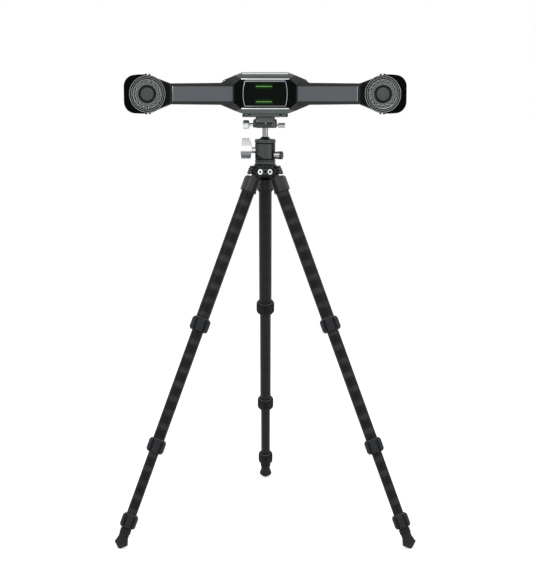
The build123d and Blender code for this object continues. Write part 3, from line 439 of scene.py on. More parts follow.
# leg heads: the inner side, towards the tripod's middle, is painted darker as painted shade; the outer side
# keeps the casting's grey
legHeadShading = {
    "split": 3 * mm,           # the outer side begins this far out of the leg's axis
    "inner": ((20, 22, 21), 0.0, 0.44, 0.2),
    "outer": ((44, 47, 46), 0.0, 0.4, 0.3),
}


def carbonTube(name, start, down, radius, sheenMottle):
    # lacquered carbon: a fine twill, and soft light patches where two windings cross, the winding pattern
    # brightened as a painted sheen laid about the tube's front
    mat, tree, shader = newMaterial(name, carbon["shine"])
    turn = down.rotation_difference(Vector((0, 0, 1))).to_euler()
    x, y, z = separated(tree, objectPoint(tree, start, turn))
    angle = math(tree, "ARCTAN2", y, x)
    across = math(tree, "MULTIPLY", angle, radius / carbon["thread"])
    rise = math(tree, "MULTIPLY", z, 1 / carbon["thread"])
    warp = math(tree, "SINE", math(tree, "MULTIPLY", math(tree, "ADD", across, rise), pi / 2))
    weft = math(tree, "SINE", math(tree, "MULTIPLY", math(tree, "SUBTRACT", across, rise), pi / 2))
    weave = math(tree, "MULTIPLY_ADD", math(tree, "MULTIPLY", warp, weft), 0.5, 0.5)
    # the patches are centred on the side of the tube that faces front, where the painted sheen lies
    front = Vector((0, -1, 0))
    front.rotate(turn)
    climb = math(tree, "MULTIPLY", z, 2 * pi / carbon["windPitch"])
    back = math(tree, "ADD", climb, 2 * atan2(front.y, front.x))
    windings = [math(tree, "MULTIPLY_ADD", math(tree, "SINE", phase), 0.5, 0.5)
                for phase in (math(tree, "ADD", climb, angle), math(tree, "SUBTRACT", back, angle))]
    cloud = noise(tree, objectPoint(tree), 45, 3)
    soft = math(tree, "MULTIPLY", math(tree, "MULTIPLY", *windings), cloud)
    least = carbon["shade"] - sheenMottle * carbon["patchMean"]
    share = math(tree, "MULTIPLY_ADD", soft, sheenMottle, least, clamp=True)
    base = blendColours(tree, share, carbon["dark"], carbon["light"])
    threads = math(tree, "MULTIPLY", weave, carbon["threadShare"])
    lit = blendColours(tree, threads, base, darker(carbon["light"], 1.15))
    feed(tree, shader, {"Base Color": lit, "Roughness": spread(tree, cloud, 0.34, 0.46),
                        "Normal": bump(tree, weave, 0.25, 0.00006)})
    return mat


legs = {}
for side in ("left", "right", "rear"):
    pivot = Vector(joints[side + "_leg_fold"]["pos_m"])
    down = Vector(joints[side + "_extend_2"]["axis"])
    hinge = Vector(joints[side + "_leg_fold"]["axis"])
    out = hinge.cross(down)
    legs[side] = {"pivot": pivot, "down": down, "hinge": hinge, "out": out}
    for number, radius in enumerate(tubeRadii, 1):
        paint(f"{side}_tube_{number}",
              carbonTube(f"{side}Carbon{number}", pivot, down, radius * mm, carbon["sheenMottle"][side]))
    # the head's inner side gets the painted shade
    split = pivot.dot(out) + legHeadShading["split"]
    paint(side + "_leg_head", partedFinish(side + "LegHeadShaded", distanceAlong(out), split,
                                           legHeadShading["inner"], legHeadShading["outer"]))
print("materials made")


# shapes

def meshPiece(name, bm, mat, sharpAngle=35):
    bmesh.ops.remove_doubles(bm, verts=bm.verts, dist=1e-7)
    bmesh.ops.recalc_face_normals(bm, faces=bm.faces)
    mesh = bpy.data.meshes.new(name)
    bm.to_mesh(mesh)
    bm.free()
    mesh.shade_smooth()
    mesh.set_sharp_from_angle(angle=radians(sharpAngle))
    mesh.materials.append(mat)
    obj = bpy.data.objects.new(name, mesh)
    scene.collection.objects.link(obj)
    return obj


def turned(name, mat, outline, centre=(0, 0, 0), along=(0, 0, 1), steps=96, sweep=2 * pi):
    # outline is a closed list of (radius, height), in millimetres, turned about the line through the centre;
    # a sweep of less than a full turn is laid to both sides of the x axis and closed at its ends
    turn = Vector((0, 0, 1)).rotation_difference(Vector(along))
    bm = bmesh.new()
    rings = []
    whole = sweep >= 2 * pi
    for step in range(steps if whole else steps + 1):
        angle = sweep * step / steps - (0 if whole else sweep / 2)
        rings.append([bm.verts.new(Vector(centre) + turn @ Vector((r * cos(angle), r * sin(angle), h)) * mm)
                      for r, h in outline])
    if not whole:
        bm.faces.new(rings[0])
        bm.faces.new(rings[-1][::-1])
    for one, two in zip(rings, rings[1:] + (rings[:1] if whole else [])):
        for i in range(len(outline)):
            j = (i + 1) % len(outline)
            if outline[i][0] or outline[j][0]:
                bm.faces.new((one[i], two[i], two[j], one[j]))
    return meshPiece(name, bm, mat)


def plate(name, mat, outline, centre, across, up, depth, softEdge=0.15):
    # an outline of (across, up) points in millimetres, thickened towards across x up
    across, up = Vector(across).normalized(), Vector(up).normalized()
    thick = across.cross(up) * depth * mm
    bm = bmesh.new()
    low = [bm.verts.new(Vector(centre) + (across * x + up * y) * mm) for x, y in outline]
    high = [bm.verts.new(v.co + thick) for v in low]
    bm.faces.new(low[::-1])
    bm.faces.new(high)
    for i in range(len(low)):
        j = (i + 1) % len(low)
        bm.faces.new((low[i], low[j], high[j], high[i]))
    if softEdge:
        bmesh.ops.bevel(bm, geom=bm.edges[:], offset=softEdge * mm, segments=2, affect="EDGES", profile=0.5)
    return meshPiece(name, bm, mat)


def frontPlate(name, mat, outline, centre, depth, softEdge=0.15):
    return plate(name, mat, outline, centre, (1, 0, 0), (0, 0, 1), depth, softEdge)


def rectangle(width, height):
    return [(x * width / 2, y * height / 2) for x, y in ((-1, -1), (1, -1), (1, 1), (-1, 1))]


def rounded(width, height, corner, steps=6):
    # a rectangle with round corners
    points = []
    for quarter, (x, y) in enumerate(((1, 1), (-1, 1), (-1, -1), (1, -1))):
        for step in range(steps + 1):
            angle = pi / 2 * (quarter + step / steps)
            points.append((x * (width / 2 - corner) + corner * cos(angle),
                           y * (height / 2 - corner) + corner * sin(angle)))
    return points


def joined(name, parts):
    first = parts[0]
    if len(parts) > 1:
        with bpy.context.temp_override(active_object=first, object=first, selected_objects=parts,
                                       selected_editable_objects=parts):
            bpy.ops.object.join()
    first.name = name
    first.data.name = name
    return first


def addPiece(name, parts, body, replaced=()):
    obj = joined(name, parts)
    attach(obj, body)
    if replaced:
        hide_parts(*replaced)


def discard(*shapes):
    for shape in shapes:
        bpy.data.objects.remove(shape)


# geometry node trees for what repeats

def newTree(name, inputs):
    tree = bpy.data.node_groups.new(name, "GeometryNodeTree")
    for label, kind in inputs.items():
        tree.interface.new_socket(label, in_out="INPUT", socket_type="NodeSocket" + kind)
    tree.interface.new_socket("Geometry", in_out="OUTPUT", socket_type="NodeSocketGeometry")
    return tree, tree.nodes.new("NodeGroupInput").outputs


def endTree(tree, geometry, mat):
    real = addNode(tree, "GeometryNodeRealizeInstances", {"Geometry": geometry})[0]
    painted = addNode(tree, "GeometryNodeSetMaterial", {"Geometry": real, "Material": mat})[0]
    addNode(tree, "NodeGroupOutput", {0: painted})


def makeRingTree():
    # one piece repeated round a circle, then moved to its place
    tree, given = newTree("ringOfPieces", {
        "Piece": "Object", "Count": "Int", "Radius": "Float", "Turn": "Vector", "Place": "Vector",
        "Material": "Material"})
    shape = addNode(tree, "GeometryNodeObjectInfo", {"Object": given["Piece"]})["Geometry"]
    out = addNode(tree, "ShaderNodeCombineXYZ", {"X": given["Radius"]})[0]
    shape = addNode(tree, "GeometryNodeTransform", {"Geometry": shape, "Translation": out})[0]
    points = addNode(tree, "GeometryNodePoints", {"Count": given["Count"]})[0]
    index = addNode(tree, "GeometryNodeInputIndex", {})[0]
    angle = math(tree, "MULTIPLY", math(tree, "DIVIDE", index, given["Count"]), 2 * pi)
    spin = addNode(tree, "ShaderNodeCombineXYZ", {"Z": angle})[0]
    ring = addNode(tree, "GeometryNodeInstanceOnPoints",
                   {"Points": points, "Instance": shape, "Rotation": spin})[0]
    ring = addNode(tree, "GeometryNodeTransform",
                   {"Geometry": ring, "Rotation": given["Turn"], "Translation": given["Place"]})[0]
    endTree(tree, ring, given["Material"])
    return tree


def makeRowTree():
    # one piece repeated along a line
    tree, given = newTree("rowOfPieces", {
        "Piece": "Object", "Count": "Int", "Start": "Vector", "Step": "Vector", "Turn": "Vector",
        "Material": "Material"})
    shape = addNode(tree, "GeometryNodeObjectInfo", {"Object": given["Piece"]})["Geometry"]
    line = addNode(tree, "GeometryNodeMeshLine", {"Count": given["Count"], "Start Location": given["Start"],
                                                  "Offset": given["Step"]}, mode="OFFSET")[0]
    row = addNode(tree, "GeometryNodeInstanceOnPoints",
                  {"Points": line, "Instance": shape, "Rotation": given["Turn"]})[0]
    endTree(tree, row, given["Material"])
    return tree


ringTree = makeRingTree()
rowTree = makeRowTree()


def evaluated(obj):
    # the mesh that an object's modifiers make of it
    bpy.context.view_layer.update()
    mesh = bpy.data.meshes.new_from_object(obj.evaluated_get(bpy.context.evaluated_depsgraph_get()))
    obj.modifiers.clear()
    return mesh


def grown(name, tree, values):
    # the tree's result as a plain mesh; its inputs are filled before it is first evaluated
    obj = bpy.data.objects.new(name, bpy.data.meshes.new(name))
    scene.collection.objects.link(obj)
    modifier = obj.modifiers.new("grow", "NODES")
    modifier.node_group = tree
    for item in tree.interface.items_tree:
        if item.item_type == "SOCKET" and item.in_out == "INPUT":
            modifier[item.identifier] = values[item.name]
    obj.data = evaluated(obj)
    return obj


def turnTo(along, across):
    # the turn that lays a piece's z along one direction, and its x towards another
    z, x = Vector(along).normalized(), Vector(across)
    x = (x - z * x.dot(z)).normalized()
    return tuple(Matrix((x, z.cross(x), z)).transposed().to_euler())


def ringOf(name, shape, mat, count, radius, place, turn):
    return grown(name, ringTree, {"Piece": shape, "Count": count, "Radius": radius * mm, "Turn": turn,
                                  "Place": tuple(place), "Material": mat})


def rowOf(name, shape, mat, count, start, gap, turn):
    return grown(name, rowTree, {"Piece": shape, "Count": count, "Start": tuple(start), "Step": tuple(gap),
                                 "Turn": turn, "Material": mat})


# camera pods: lamps, rings and lenses

pod = {
    "toeIn": 15,              # degrees
    "lamps": 16,
    "lampRing": 30.4,         # mm, as everything below
    "lampFloor": 0.75,        # from the middle of the bezel's thickness
    "lampFace": 0.9,
    "dome": [(0, 1.0), (1.2, 0.9), (2.1, 0.6), (2.6, 0.15), (2.65, -0.3), (0, -0.3)],
    "eyelet": [(2.7, -0.1), (2.75, 0.3), (2.95, 0.4), (3.3, 0.3), (3.4, -0.1)],
    "rings": {
        "outerLine": [(38.3, 2.4), (38.4, 2.8), (39.1, 2.8), (39.4, 2.4)],
        "innerLine": [(34.3, 0.8), (34.4, 1.2), (35.0, 1.3), (35.3, 0.8)],
        "lensLine": [(23.6, 0.8), (23.7, 1.2), (24.2, 1.2), (24.4, 0.8)],
        "rimLine": [(42.7, 3.4), (42.8, 3.65), (43.7, 3.65), (44.1, 3.2)],
    },
    "darkRing": [(35.5, 2.4), (35.6, 2.75), (38.0, 2.75), (38.1, 2.4)],
    "hook": [(-7.0, -2.4), (-2.0, -1.8), (1.5, -0.6), (3.2, 1.6), (2.8, 3.6), (0.8, 4.6), (-1.4, 4.2),
             (-1.2, 2.8), (0.5, 3.0), (1.2, 1.8), (0.2, 0.7), (-2.2, -0.1), (-7.0, -0.6)],
    "hookPlace": (5.0, 43.9, 3.5),     # across, up, ahead
    "hookLength": 8,
}

lens = {
    "glassRadius": 15.4 * mm,
    "threadPitch": 0.8 * mm,
    "shine": 0.22,
    # grey of the filter glass: a painted reflection of the white room
    "glass": (srgb(67, 71, 70), srgb(76, 80, 79)),
    "rim": srgb(6, 7, 7),
}


def makeLensMaterial(side, centre, ahead):
    # one turned piece: satin filter glass inside, its grey a painted reflection of the white room, and a
    # threaded black rim outside
    mat, tree, shader = newMaterial(side + "Lens", lens["shine"])
    away = Vector((0, 0, 1)).rotation_difference(ahead).inverted().to_euler()
    x, y, z = separated(tree, objectPoint(tree, centre, away))
    radius = math(tree, "SQRT", math(tree, "ADD", math(tree, "POWER", x, 2.0), math(tree, "POWER", y, 2.0)))
    glass = math(tree, "LESS_THAN", radius, lens["glassRadius"])
    glassPaintedReflection = ramp(tree, noise(tree, objectPoint(tree), 40, 3), *lens["glass"])
    thread = math(tree, "SINE", math(tree, "MULTIPLY", radius, 2 * pi / lens["threadPitch"]))
    groove = math(tree, "MULTIPLY", thread, math(tree, "SUBTRACT", 1.0, glass))
    feed(tree, shader, {"Base Color": blendColours(tree, glass, lens["rim"], glassPaintedReflection),
                        "Roughness": math(tree, "MULTIPLY_ADD", glass, 0.12, 0.22),
                        "Normal": bump(tree, groove, 0.4, 0.0001)})
    paint(side + "_lens", mat)


def makePods():
    domeMat, metal = finishes["lampDome"], finishes["ringMetal"]
    dome = turned("domeShape", domeMat, pod["dome"], steps=20)
    eyelet = turned("eyeletShape", metal, pod["eyelet"], steps=28)
    toe = radians(pod["toeIn"])
    for side, way in (("left", 1), ("right", -1)):
        ahead = Vector((way * sin(toe), -cos(toe), 0))
        centre = middle(side + "_pod_bezel")
        turn = turnTo(ahead, (0, 0, 1))
        count, ring = pod["lamps"], pod["lampRing"]
        domes = ringOf("domes", dome, domeMat, count, ring, centre + ahead * pod["lampFloor"] * mm, turn)
        eyelets = ringOf("eyelets", eyelet, metal, count, ring, centre + ahead * pod["lampFace"] * mm, turn)
        addPiece(side + "PodLamps", [domes, eyelets], "tracker")
        rings = [turned(name, metal, outline, centre, ahead) for name, outline in pod["rings"].items()]
        addPiece(side + "PodRings", rings, "tracker")
        dark = turned("darkRing", finishes["darkLine"], pod["darkRing"], centre, ahead)
        across = Vector((0, 0, 1)).cross(ahead) * way
        offset, height, out = pod["hookPlace"]
        hooks = [plate("hook", finishes["hoodPlastic"], pod["hook"],
                       centre + (ahead * out + across * offset + Vector((0, 0, flip * height))) * mm,
                       across, (0, 0, flip), -pod["hookLength"] * way * flip, 0.2) for flip in (1, -1)]
        addPiece(side + "PodHooks", [dark] + hooks, "tracker")
        makeLensMaterial(side, centre, ahead)
    discard(dome, eyelet)


makePods()
print("pods dressed")


# display: smoked window with two lit lines behind it, and the lines' light painted onto the window as a glow

display = {
    "lines": (17.6, -19.0),     # mm above the middle of the window
    "lineCentre": -2.9,
    "lineLength": 38.0,
    "lineHeight": 1.2,
    "lineDepth": (0.1, 0.25),   # back of a line behind the window's face, thickness
    "lineColour": srgb(96, 140, 76),
    "lineGlow": srgb(126, 190, 96),
    "lineStrength": 0.55,
    # the window's painted glow of the lines' light: its height, fall-off, reach past the ends, colour and
    # strength
    "glowHeight": 5.2,
    "glowFall": 1.6,            # how steeply it fades above and below a line
    "glowEnds": 3,              # mm past a line's ends
    "paintedGlowColour": srgb(36, 92, 12),
    "paintedGlowStrength": 0.45,
    "window": (srgb(5, 8, 6), srgb(10, 13, 10)),
    "shine": 0.05,
}


def litPlastic():
    mat, tree, shader = newMaterial("litLine")
    colour, strength = display["lineColour"], display["lineStrength"]
    cloud = noise(tree, objectPoint(tree), 220, 3)
    feed(tree, shader, {"Base Color": ramp(tree, cloud, darker(colour, 0.8), colour), "Roughness": 0.3,
                        "Emission Color": (*display["lineGlow"], 1),
                        "Emission Strength": spread(tree, cloud, 0.6 * strength, strength)})
    return mat


def smokedWindowPaintedGlow(face):
    mat, tree, shader = newMaterial("smokedWindowPaintedGlow", display["shine"])
    x, y, z = separated(tree, objectPoint(tree, face))
    cloud = noise(tree, objectPoint(tree), 30, 3)
    # painted glow of the lines' light on the window, fading above, below and past the ends of each line
    off = math(tree, "ABSOLUTE", math(tree, "SUBTRACT", x, display["lineCentre"] * mm))
    past = math(tree, "SUBTRACT", off, display["lineLength"] / 2 * mm)
    faded = math(tree, "MULTIPLY", past, 1 / (display["glowEnds"] * mm))
    within = math(tree, "SUBTRACT", 1.0, faded, clamp=True)
    bells = []
    for height in display["lines"]:
        above = math(tree, "SUBTRACT", z, height * mm)
        away = math(tree, "MULTIPLY", above, 1 / (display["glowHeight"] * mm))
        fall = math(tree, "MULTIPLY", math(tree, "POWER", away, 2.0), -display["glowFall"])
        bells.append(math(tree, "POWER", 2.718, fall))
    glow = math(tree, "MULTIPLY", math(tree, "ADD", *bells), within)
    feed(tree, shader, {"Base Color": ramp(tree, cloud, *display["window"]), "Roughness": 0.16,
                        "Emission Color": (*display["paintedGlowColour"], 1),
                        "Emission Strength": math(tree, "MULTIPLY", glow, display["paintedGlowStrength"])})
    return mat


def makeDisplay():
    face = middle("display_window")
    face.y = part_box("display_window")[0].y
    paint("display_window", smokedWindowPaintedGlow(face))
    lit = litPlastic()
    outline = rounded(display["lineLength"], display["lineHeight"], 0.6)
    sunk, depth = display["lineDepth"]
    bars = [frontPlate("litLine", lit, outline, face + Vector((display["lineCentre"], sunk, height)) * mm,
                       depth, 0.05) for height in display["lines"]]
    addPiece("displayLines", bars, "tracker")


makeDisplay()
print("display made")


# bright edges of the bar

edges = {
    "panelLine": (1.3, 0.7, 0.3),     # width, depth, back of the line behind the panel's face
    "coverLineHeight": 2.0,
    "coverLineDepth": 1.2,
    "coverFlat": (56.0, 1.1),         # half width of the cover's level part, the line's drop under it
    "coverTip": (3, 1.2),             # the line's end from the cover's tip, inwards and up
    "tipShare": 0.6,                  # height of the line at its ends
}


def makeBarEdges():
    low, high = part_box("arm_panels")
    width, depth, sunk = edges["panelLine"]
    lines = [frontPlate("panelLine", finishes["ringMetal"], rectangle(width, (high[2] - low[2]) / mm),
                        (x, low[1] + sunk * mm, (low[2] + high[2]) / 2), depth) for x in (low[0], high[0])]
    addPiece("panelEndLines", lines, "tracker")


def makeCoverLines():
    # a polished line under the front edge of the folded top cover
    low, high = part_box("top_cover")
    flat, drop = edges["coverFlat"]
    inwards, up = edges["coverTip"]
    tip, foot = (high[0] - low[0]) / 2 / mm - inwards, (low[2] - high[2]) / mm + up
    thick = edges["coverLineHeight"]
    thin = thick * edges["tipShare"]
    outline = [(-tip, foot), (-flat, -drop), (flat, -drop), (tip, foot),
               (tip, foot - thin), (flat, -drop - thick), (-flat, -drop - thick), (-tip, foot - thin)]
    place = ((low[0] + high[0]) / 2, low[1], high[2])
    line = frontPlate("coverLine", finishes["polishedBright"], outline, place, edges["coverLineDepth"])
    addPiece("coverFrontLine", [line], "tracker")


trim = {
    "setBack": 0.6,
    "railHeight": 2.4,
    "window": (48.2, 29.3),       # half width at the corners, half height
    "bow": 4.2,
    "frame": 1.4,
    "frameEdge": 1.0,
    "revealGap": 0.4,
    "steps": 16,
}


def makeTrim():
    # polished rails along the edges of the front face, and the window's bowed frame
    low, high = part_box("front_trim")
    centre = Vector((0, high[1] - trim["setBack"] * mm, (low[2] + high[2]) / 2))
    depth = (centre.y - low[1]) / mm
    half, tall = (high[0] - low[0]) / 2 / mm, (high[2] - low[2]) / 2 / mm
    rail, gap, count = trim["railHeight"], trim["revealGap"], trim["steps"]
    width, height = trim["window"]
    metal = finishes["ringMetal"]
    rows = [2 * i / count - 1 for i in range(count + 1)]

    def above(distance):
        return centre + Vector((0, 0, distance)) * mm

    parts = [frontPlate("rail", finishes["polishedBright"], rectangle(2 * half, rail),
                        above(way * (tall - rail / 2)), depth) for way in (1, -1)]
    for way in (1, -1):
        inner = [(way * (width + trim["bow"] * (1 - t * t)), t * height) for t in rows]
        outer = [(x + way * trim["frame"], z) for x, z in inner]
        parts.append(frontPlate("frameSide", metal, inner + outer[::-1], centre, depth, 0.1))
    parts += [frontPlate("frameEdge", metal, rectangle(2 * width + 2, trim["frameEdge"]), above(way * height),
                         depth, 0.1) for way in (1, -1)]
    tallness = tall - rail - height - gap
    parts.append(frontPlate("reveal", finishes["revealGrey"], rectangle(2 * width, tallness),
                            above(height + gap + tallness / 2), depth - 0.2, 0.1))
    addPiece("frontTrim", parts, "tracker", ["front_trim"])


module = {
    "bandHalfWidth": 56.5,
    "slopeFoot": (0.6, 0.3),      # behind the front face and above the trim
    "crestDrop": 2,
    "brightShare": 0.22,          # upper part of the slope that is polished
    "slopeThick": (0.4, 0.6),     # of its grey and of its polished part
    "chinSetBack": (0.6, 3.2),    # front of the lower band behind the front face, at its top and at its foot
    "chinBack": (6.0, 44.0),      # its back edge, at its top and at its foot
    "chinShort": 0.3,             # its foot over the housing's
    "chinRise": -1.0,             # of its top towards the back
}


def makeModuleBands():
    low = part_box("front_housing")[0]
    trimLow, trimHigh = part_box("front_trim")
    coverLow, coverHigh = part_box("top_cover")
    face, bottom, half = low[1], trimLow[2], module["bandHalfWidth"]
    behind, above = module["slopeFoot"]
    crest = Vector((0, coverLow[1], coverHigh[2] - module["crestDrop"] * mm))
    foot = Vector((0, face + behind * mm, trimHigh[2] + above * mm))
    slope = crest - foot
    part, (thick, brightThick) = module["brightShare"], module["slopeThick"]
    upper = plate("upperBand", finishes["slopeGrey"], rectangle(2 * half, slope.length / mm * (1 - part)),
                  foot + slope * (1 - part) / 2, (1, 0, 0), slope, thick)
    bright = plate("slopeLine", finishes["polishedBright"], rectangle(2 * half - 1, slope.length / mm * part),
                   crest - slope * part / 2, (1, 0, 0), slope, brightThick)
    depth = (low[2] - bottom) / mm + module["chinShort"]
    topFront, footFront = module["chinSetBack"]
    topBack, footBack = module["chinBack"]
    chin = [(topFront, 0), (footFront, depth), (footBack, depth), (topBack, module["chinRise"])]
    lower = plate("lowerBand", finishes["bandGrey"], chin, (-half * mm, face, bottom), (0, 1, 0), (0, 0, 1),
                  2 * half)
    addPiece("moduleBands", [upper, lower], "tracker")
    addPiece("moduleSlopeLine", [bright], "tracker")


makeBarEdges()
makeCoverLines()
makeTrim()
makeModuleBands()
print("bright edges made")


# base plate: end pins, and dark sheets in its slots as painted shade

plateParts = {
    "pin": [(0, -4), (2.3, -4), (2.3, 0.2), (1.9, 0.8), (1.1, 0.8), (1.0, -0.4), (0, -0.4)],
    "pinPlace": (1.6, 4.7),       # in from the plate's end, under its top
    "slotPlace": (37.5, 3.4),     # from the middle, under its top
    "slotSize": (6.6, 2.0),
    "joint": (43, 1.7),
    "jointDrop": 8.4,
    "sunk": 0.05,                 # backs of slots and joint behind the plate's front
}


def makePlateParts():
    low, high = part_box("base_plate")
    front, top = low[1], high[2]
    inset, drop = plateParts["pinPlace"]
    line, face = finishes["darkLine"], front + plateParts["sunk"] * mm
    parts = [turned("endPin", finishes["glossBlack"], plateParts["pin"], (x, front, top - drop * mm),
                    (0, -1, 0), 32) for x in (low[0] + inset * mm, high[0] - inset * mm)]
    across, drop = plateParts["slotPlace"]
    # dark sheets on the plate's front, painted shade standing in for the insides of the slots
    parts += [frontPlate("slot", line, rectangle(*plateParts["slotSize"]),
                         (way * across * mm, face, top - drop * mm), 0.2, 0.05) for way in (1, -1)]
    parts.append(frontPlate("joint", line, rectangle(*plateParts["joint"]),
                            (0, face, top - plateParts["jointDrop"] * mm), 0.25, 0.05))
    addPiece("plateDarkParts", parts, "tracker")


makePlateParts()


# clamp: parting lines, locking pin and eye

clampParts = {
    "partingHeight": 11.2,      # mm above the clamp's underside
    "partingThick": 1.7,
    "partings": ((-17.6, -2.4), (4.4, 17.1)),
    "jawJoint": (1.1, 17.5),
    "jawJointHeight": 10,
    "sunk": 0.1,                # backs of the lines behind the clamp's front
    "pin": (1.2, 12.0, 1.5),    # across, up, radius
    "eye": (20.6, 7.6, 4.0),
}


def makeClampParts():
    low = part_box("clamp_body")[0]
    front, foot = low[1], low[2]
    line, metal, face = finishes["darkLine"], finishes["ringMetal"], front + clampParts["sunk"] * mm
    dark = [frontPlate("parting", line, rectangle(b - a, clampParts["partingThick"]),
                       ((a + b) / 2 * mm, face, foot + clampParts["partingHeight"] * mm), 0.3, 0.1)
            for a, b in clampParts["partings"]]
    dark.append(frontPlate("jawJoint", line, rectangle(*clampParts["jawJoint"]),
                           (low[0], face, foot + clampParts["jawJointHeight"] * mm), 0.3, 0.1))
    across, up, radius = clampParts["eye"]
    eye = (across * mm, front, foot + up * mm)
    # a dark disc in the eye, painted shade standing in for its hollow
    well = [(0, -0.2), (radius, -0.2), (radius, 0.15), (0, 0.15)]
    dark.append(turned("eyeWell", line, well, eye, (0, -1, 0), 40))
    addPiece("clampDarkParts", dark, "clamp")
    ring = [(radius - 1.5, 0), (radius - 1.3, 0.6), (radius - 0.5, 0.6), (radius - 0.3, 0)]
    bright = [turned("eyeRing", metal, ring, eye, (0, -1, 0), 48)]
    across, up, radius = clampParts["pin"]
    pin = [(0, -0.3), (radius, -0.3), (radius, 0.6), (radius - 0.5, 1.0), (0, 1.1)]
    bright.append(turned("pin", metal, pin, (across * mm, front, foot + up * mm), (0, -1, 0), 24))
    addPiece("clampBrightParts", bright, "clamp")


makeClampParts()
print("plate and clamp dressed")


# crown: shoulders no wider than the stop tabs, stepped on their outer faces

crown = {
    "shoulderHalfWidth": 9.6,
    "shoulderOut": 15.2,        # mm from a leg's axis to the shoulder's outer face
    "earOut": 8.0,
    "cutter": (40, 80),         # thickness and height of the blocks that trim it
    "steps": (-5.4, 2.8),       # grooves between the steps, down the leg from its pivot
    "stepGroove": (5.0, 3.8),   # depth, height
    "stepTilt": 24,             # degrees
    "frame": (9.0, 11.5),       # width, height
    "frameLip": 1.8,
    "frameOut": 26.6,           # in front of the head's axis
    "frameDrop": 13.4,          # under the crown's top
    "padThick": 14,
}

bolts = {
    "socket": 3.3,              # radius to the corners, mm
    "face": 23.9,               # along the hinge from the leg's axis
    "seatRing": (7.0, 8.6),     # inner and outer radius
    "seat": 21.3,               # along the hinge
}

stopTab = {
    # (out of the leg, down it) from its pivot
    "outline": [(5.9, 10.9), (13.0, 10.9), (15.4, 13.5), (15.4, 16.3), (5.9, 16.3)],
    "width": 17.6,
}


def block(centre, axes, sizes):
    bm = bmesh.new()
    bmesh.ops.create_cube(bm, size=mm)
    turn = Matrix(axes).transposed()
    for v in bm.verts:
        v.co = Vector(centre) + turn @ Vector([v.co[i] * sizes[i] for i in range(3)])
    return meshPiece("block", bm, finishes["blackCasting"])


def carved(name, source, mat, cutters):
    bm = bmesh.new()
    bm.from_mesh(nodes[source].data)
    obj = meshPiece(name, bm, mat)
    for cutter in cutters:
        modifier = obj.modifiers.new("cut", "BOOLEAN")
        modifier.operation = "DIFFERENCE"
        modifier.solver = "EXACT"
        modifier.object = cutter
    bm = bmesh.new()
    bm.from_mesh(evaluated(obj))
    discard(obj, *cutters)
    return meshPiece(name, bm, mat, 30)


def makeCrown():
    cutters = []
    half, far, ear = crown["shoulderHalfWidth"], crown["shoulderOut"], crown["earOut"]
    thick, tall = crown["cutter"]
    depth, height = crown["stepGroove"]
    for leg in legs.values():
        pivot, hinge, out, down = leg["pivot"], leg["hinge"], leg["out"], leg["down"]
        axes = (hinge, out, down)
        for way in (1, -1):
            beside = pivot + (hinge * way * (half + thick / 2) + out * (ear + thick / 2)) * mm
            cutters.append(block(beside, axes, (thick, thick, tall)))
        cutters.append(block(pivot + out * (far + thick / 2) * mm, axes, (3 * half, thick, tall)))
        lean = Matrix.Rotation(radians(crown["stepTilt"]), 3, hinge)
        for place in crown["steps"]:
            cutters.append(block(pivot + (out * far + down * place) * mm, (hinge, lean @ out, lean @ down),
                                 (3 * half, 2 * depth, height)))
    casting = finishes["blackCasting"]
    body = carved("crownBody", "crown", casting, cutters)
    axis = joints["head_pan"]["pos_m"]
    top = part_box("crown")[1][2]
    width, height = crown["frame"]
    lip, thick = crown["frameLip"], crown["padThick"]
    centre = Vector((axis[0], axis[1] - crown["frameOut"] * mm, top - crown["frameDrop"] * mm))
    pad = frontPlate("pad", casting, rounded(width + 2, height + 2, 1.5), centre + Vector((0, thick, 0)) * mm,
                     thick, 0.3)
    edge = frontPlate("padFrame", finishes["frameGrey"], rounded(width, height, 1.0), centre, 0.4, 0.1)
    # a dark sheet inside the frame, painted shade standing in for the hollow of the well
    well = frontPlate("padWell", finishes["darkLine"], rounded(width - 2 * lip, height - 2 * lip, 0.6),
                      centre - Vector((0, 0.4, 0)) * mm, 0.15, 0.05)
    addPiece("crownShaped", [body, pad, edge, well], "crown", ["crown"])


def makeBoltParts():
    dark, radius = finishes["darkLine"], bolts["socket"]
    hexagon = [(radius * cos(i * pi / 3), radius * sin(i * pi / 3)) for i in range(6)]
    inner, outer = bolts["seatRing"]
    seat = [(inner, -0.4), (inner, 0.5), (outer, 0.5), (outer, -0.4)]
    parts = []
    for leg in legs.values():
        for way in (1, -1):
            along = leg["hinge"] * way
            # a dark hexagon on each bolt's face, painted shade standing in for the inside of its hex socket
            parts.append(plate("socket", dark, hexagon, leg["pivot"] + along * bolts["face"] * mm,
                               along.cross(Vector((0, 0, 1))), (0, 0, 1), 0.2, 0.05))
            parts.append(turned("seat", dark, seat, leg["pivot"] + along * bolts["seat"] * mm, along, 48))
    addPiece("boltSockets", parts, "crown")


def makeStopTabs():
    width = stopTab["width"]
    for side, leg in legs.items():
        tab = plate("tab", finishes["polishedBright"], stopTab["outline"],
                    leg["pivot"] + leg["hinge"] * (width / 2) * mm, leg["out"], leg["down"], width, 0.4)
        addPiece(side + "StopTab", [tab], side + "_stop", [side + "_stop_tab"])


makeCrown()
makeBoltParts()
makeStopTabs()
print("crown shaped")


# twist collars

collar = {
    "halfLength": 17.0,
    "height": 7.3,              # mm out of the tube
    "clearance": 0.3,           # round the tubes
    "endRound": 6.5,
    "endFlatness": 0.62,        # 1 rounds the ends as deep across as along
    "bore": (6, 9),             # the step between its two bores, up from the lower end
    "line": [(-3.2, 0.6), (-3.0, -0.1), (-2.4, 0.6), (-2.6, 1.4)],    # from the core's side and upper end
    "pads": 6,
    "padShare": 0.7,            # of the way to the next pad
    "padHeight": 1.5,
    "padShorter": 1.6,          # at each end
    "padRoot": 4.5,
    "ribs": 36,
    "rib": (1.2, 1.5, 21.0),    # out, across, along
    "steps": 72,
}


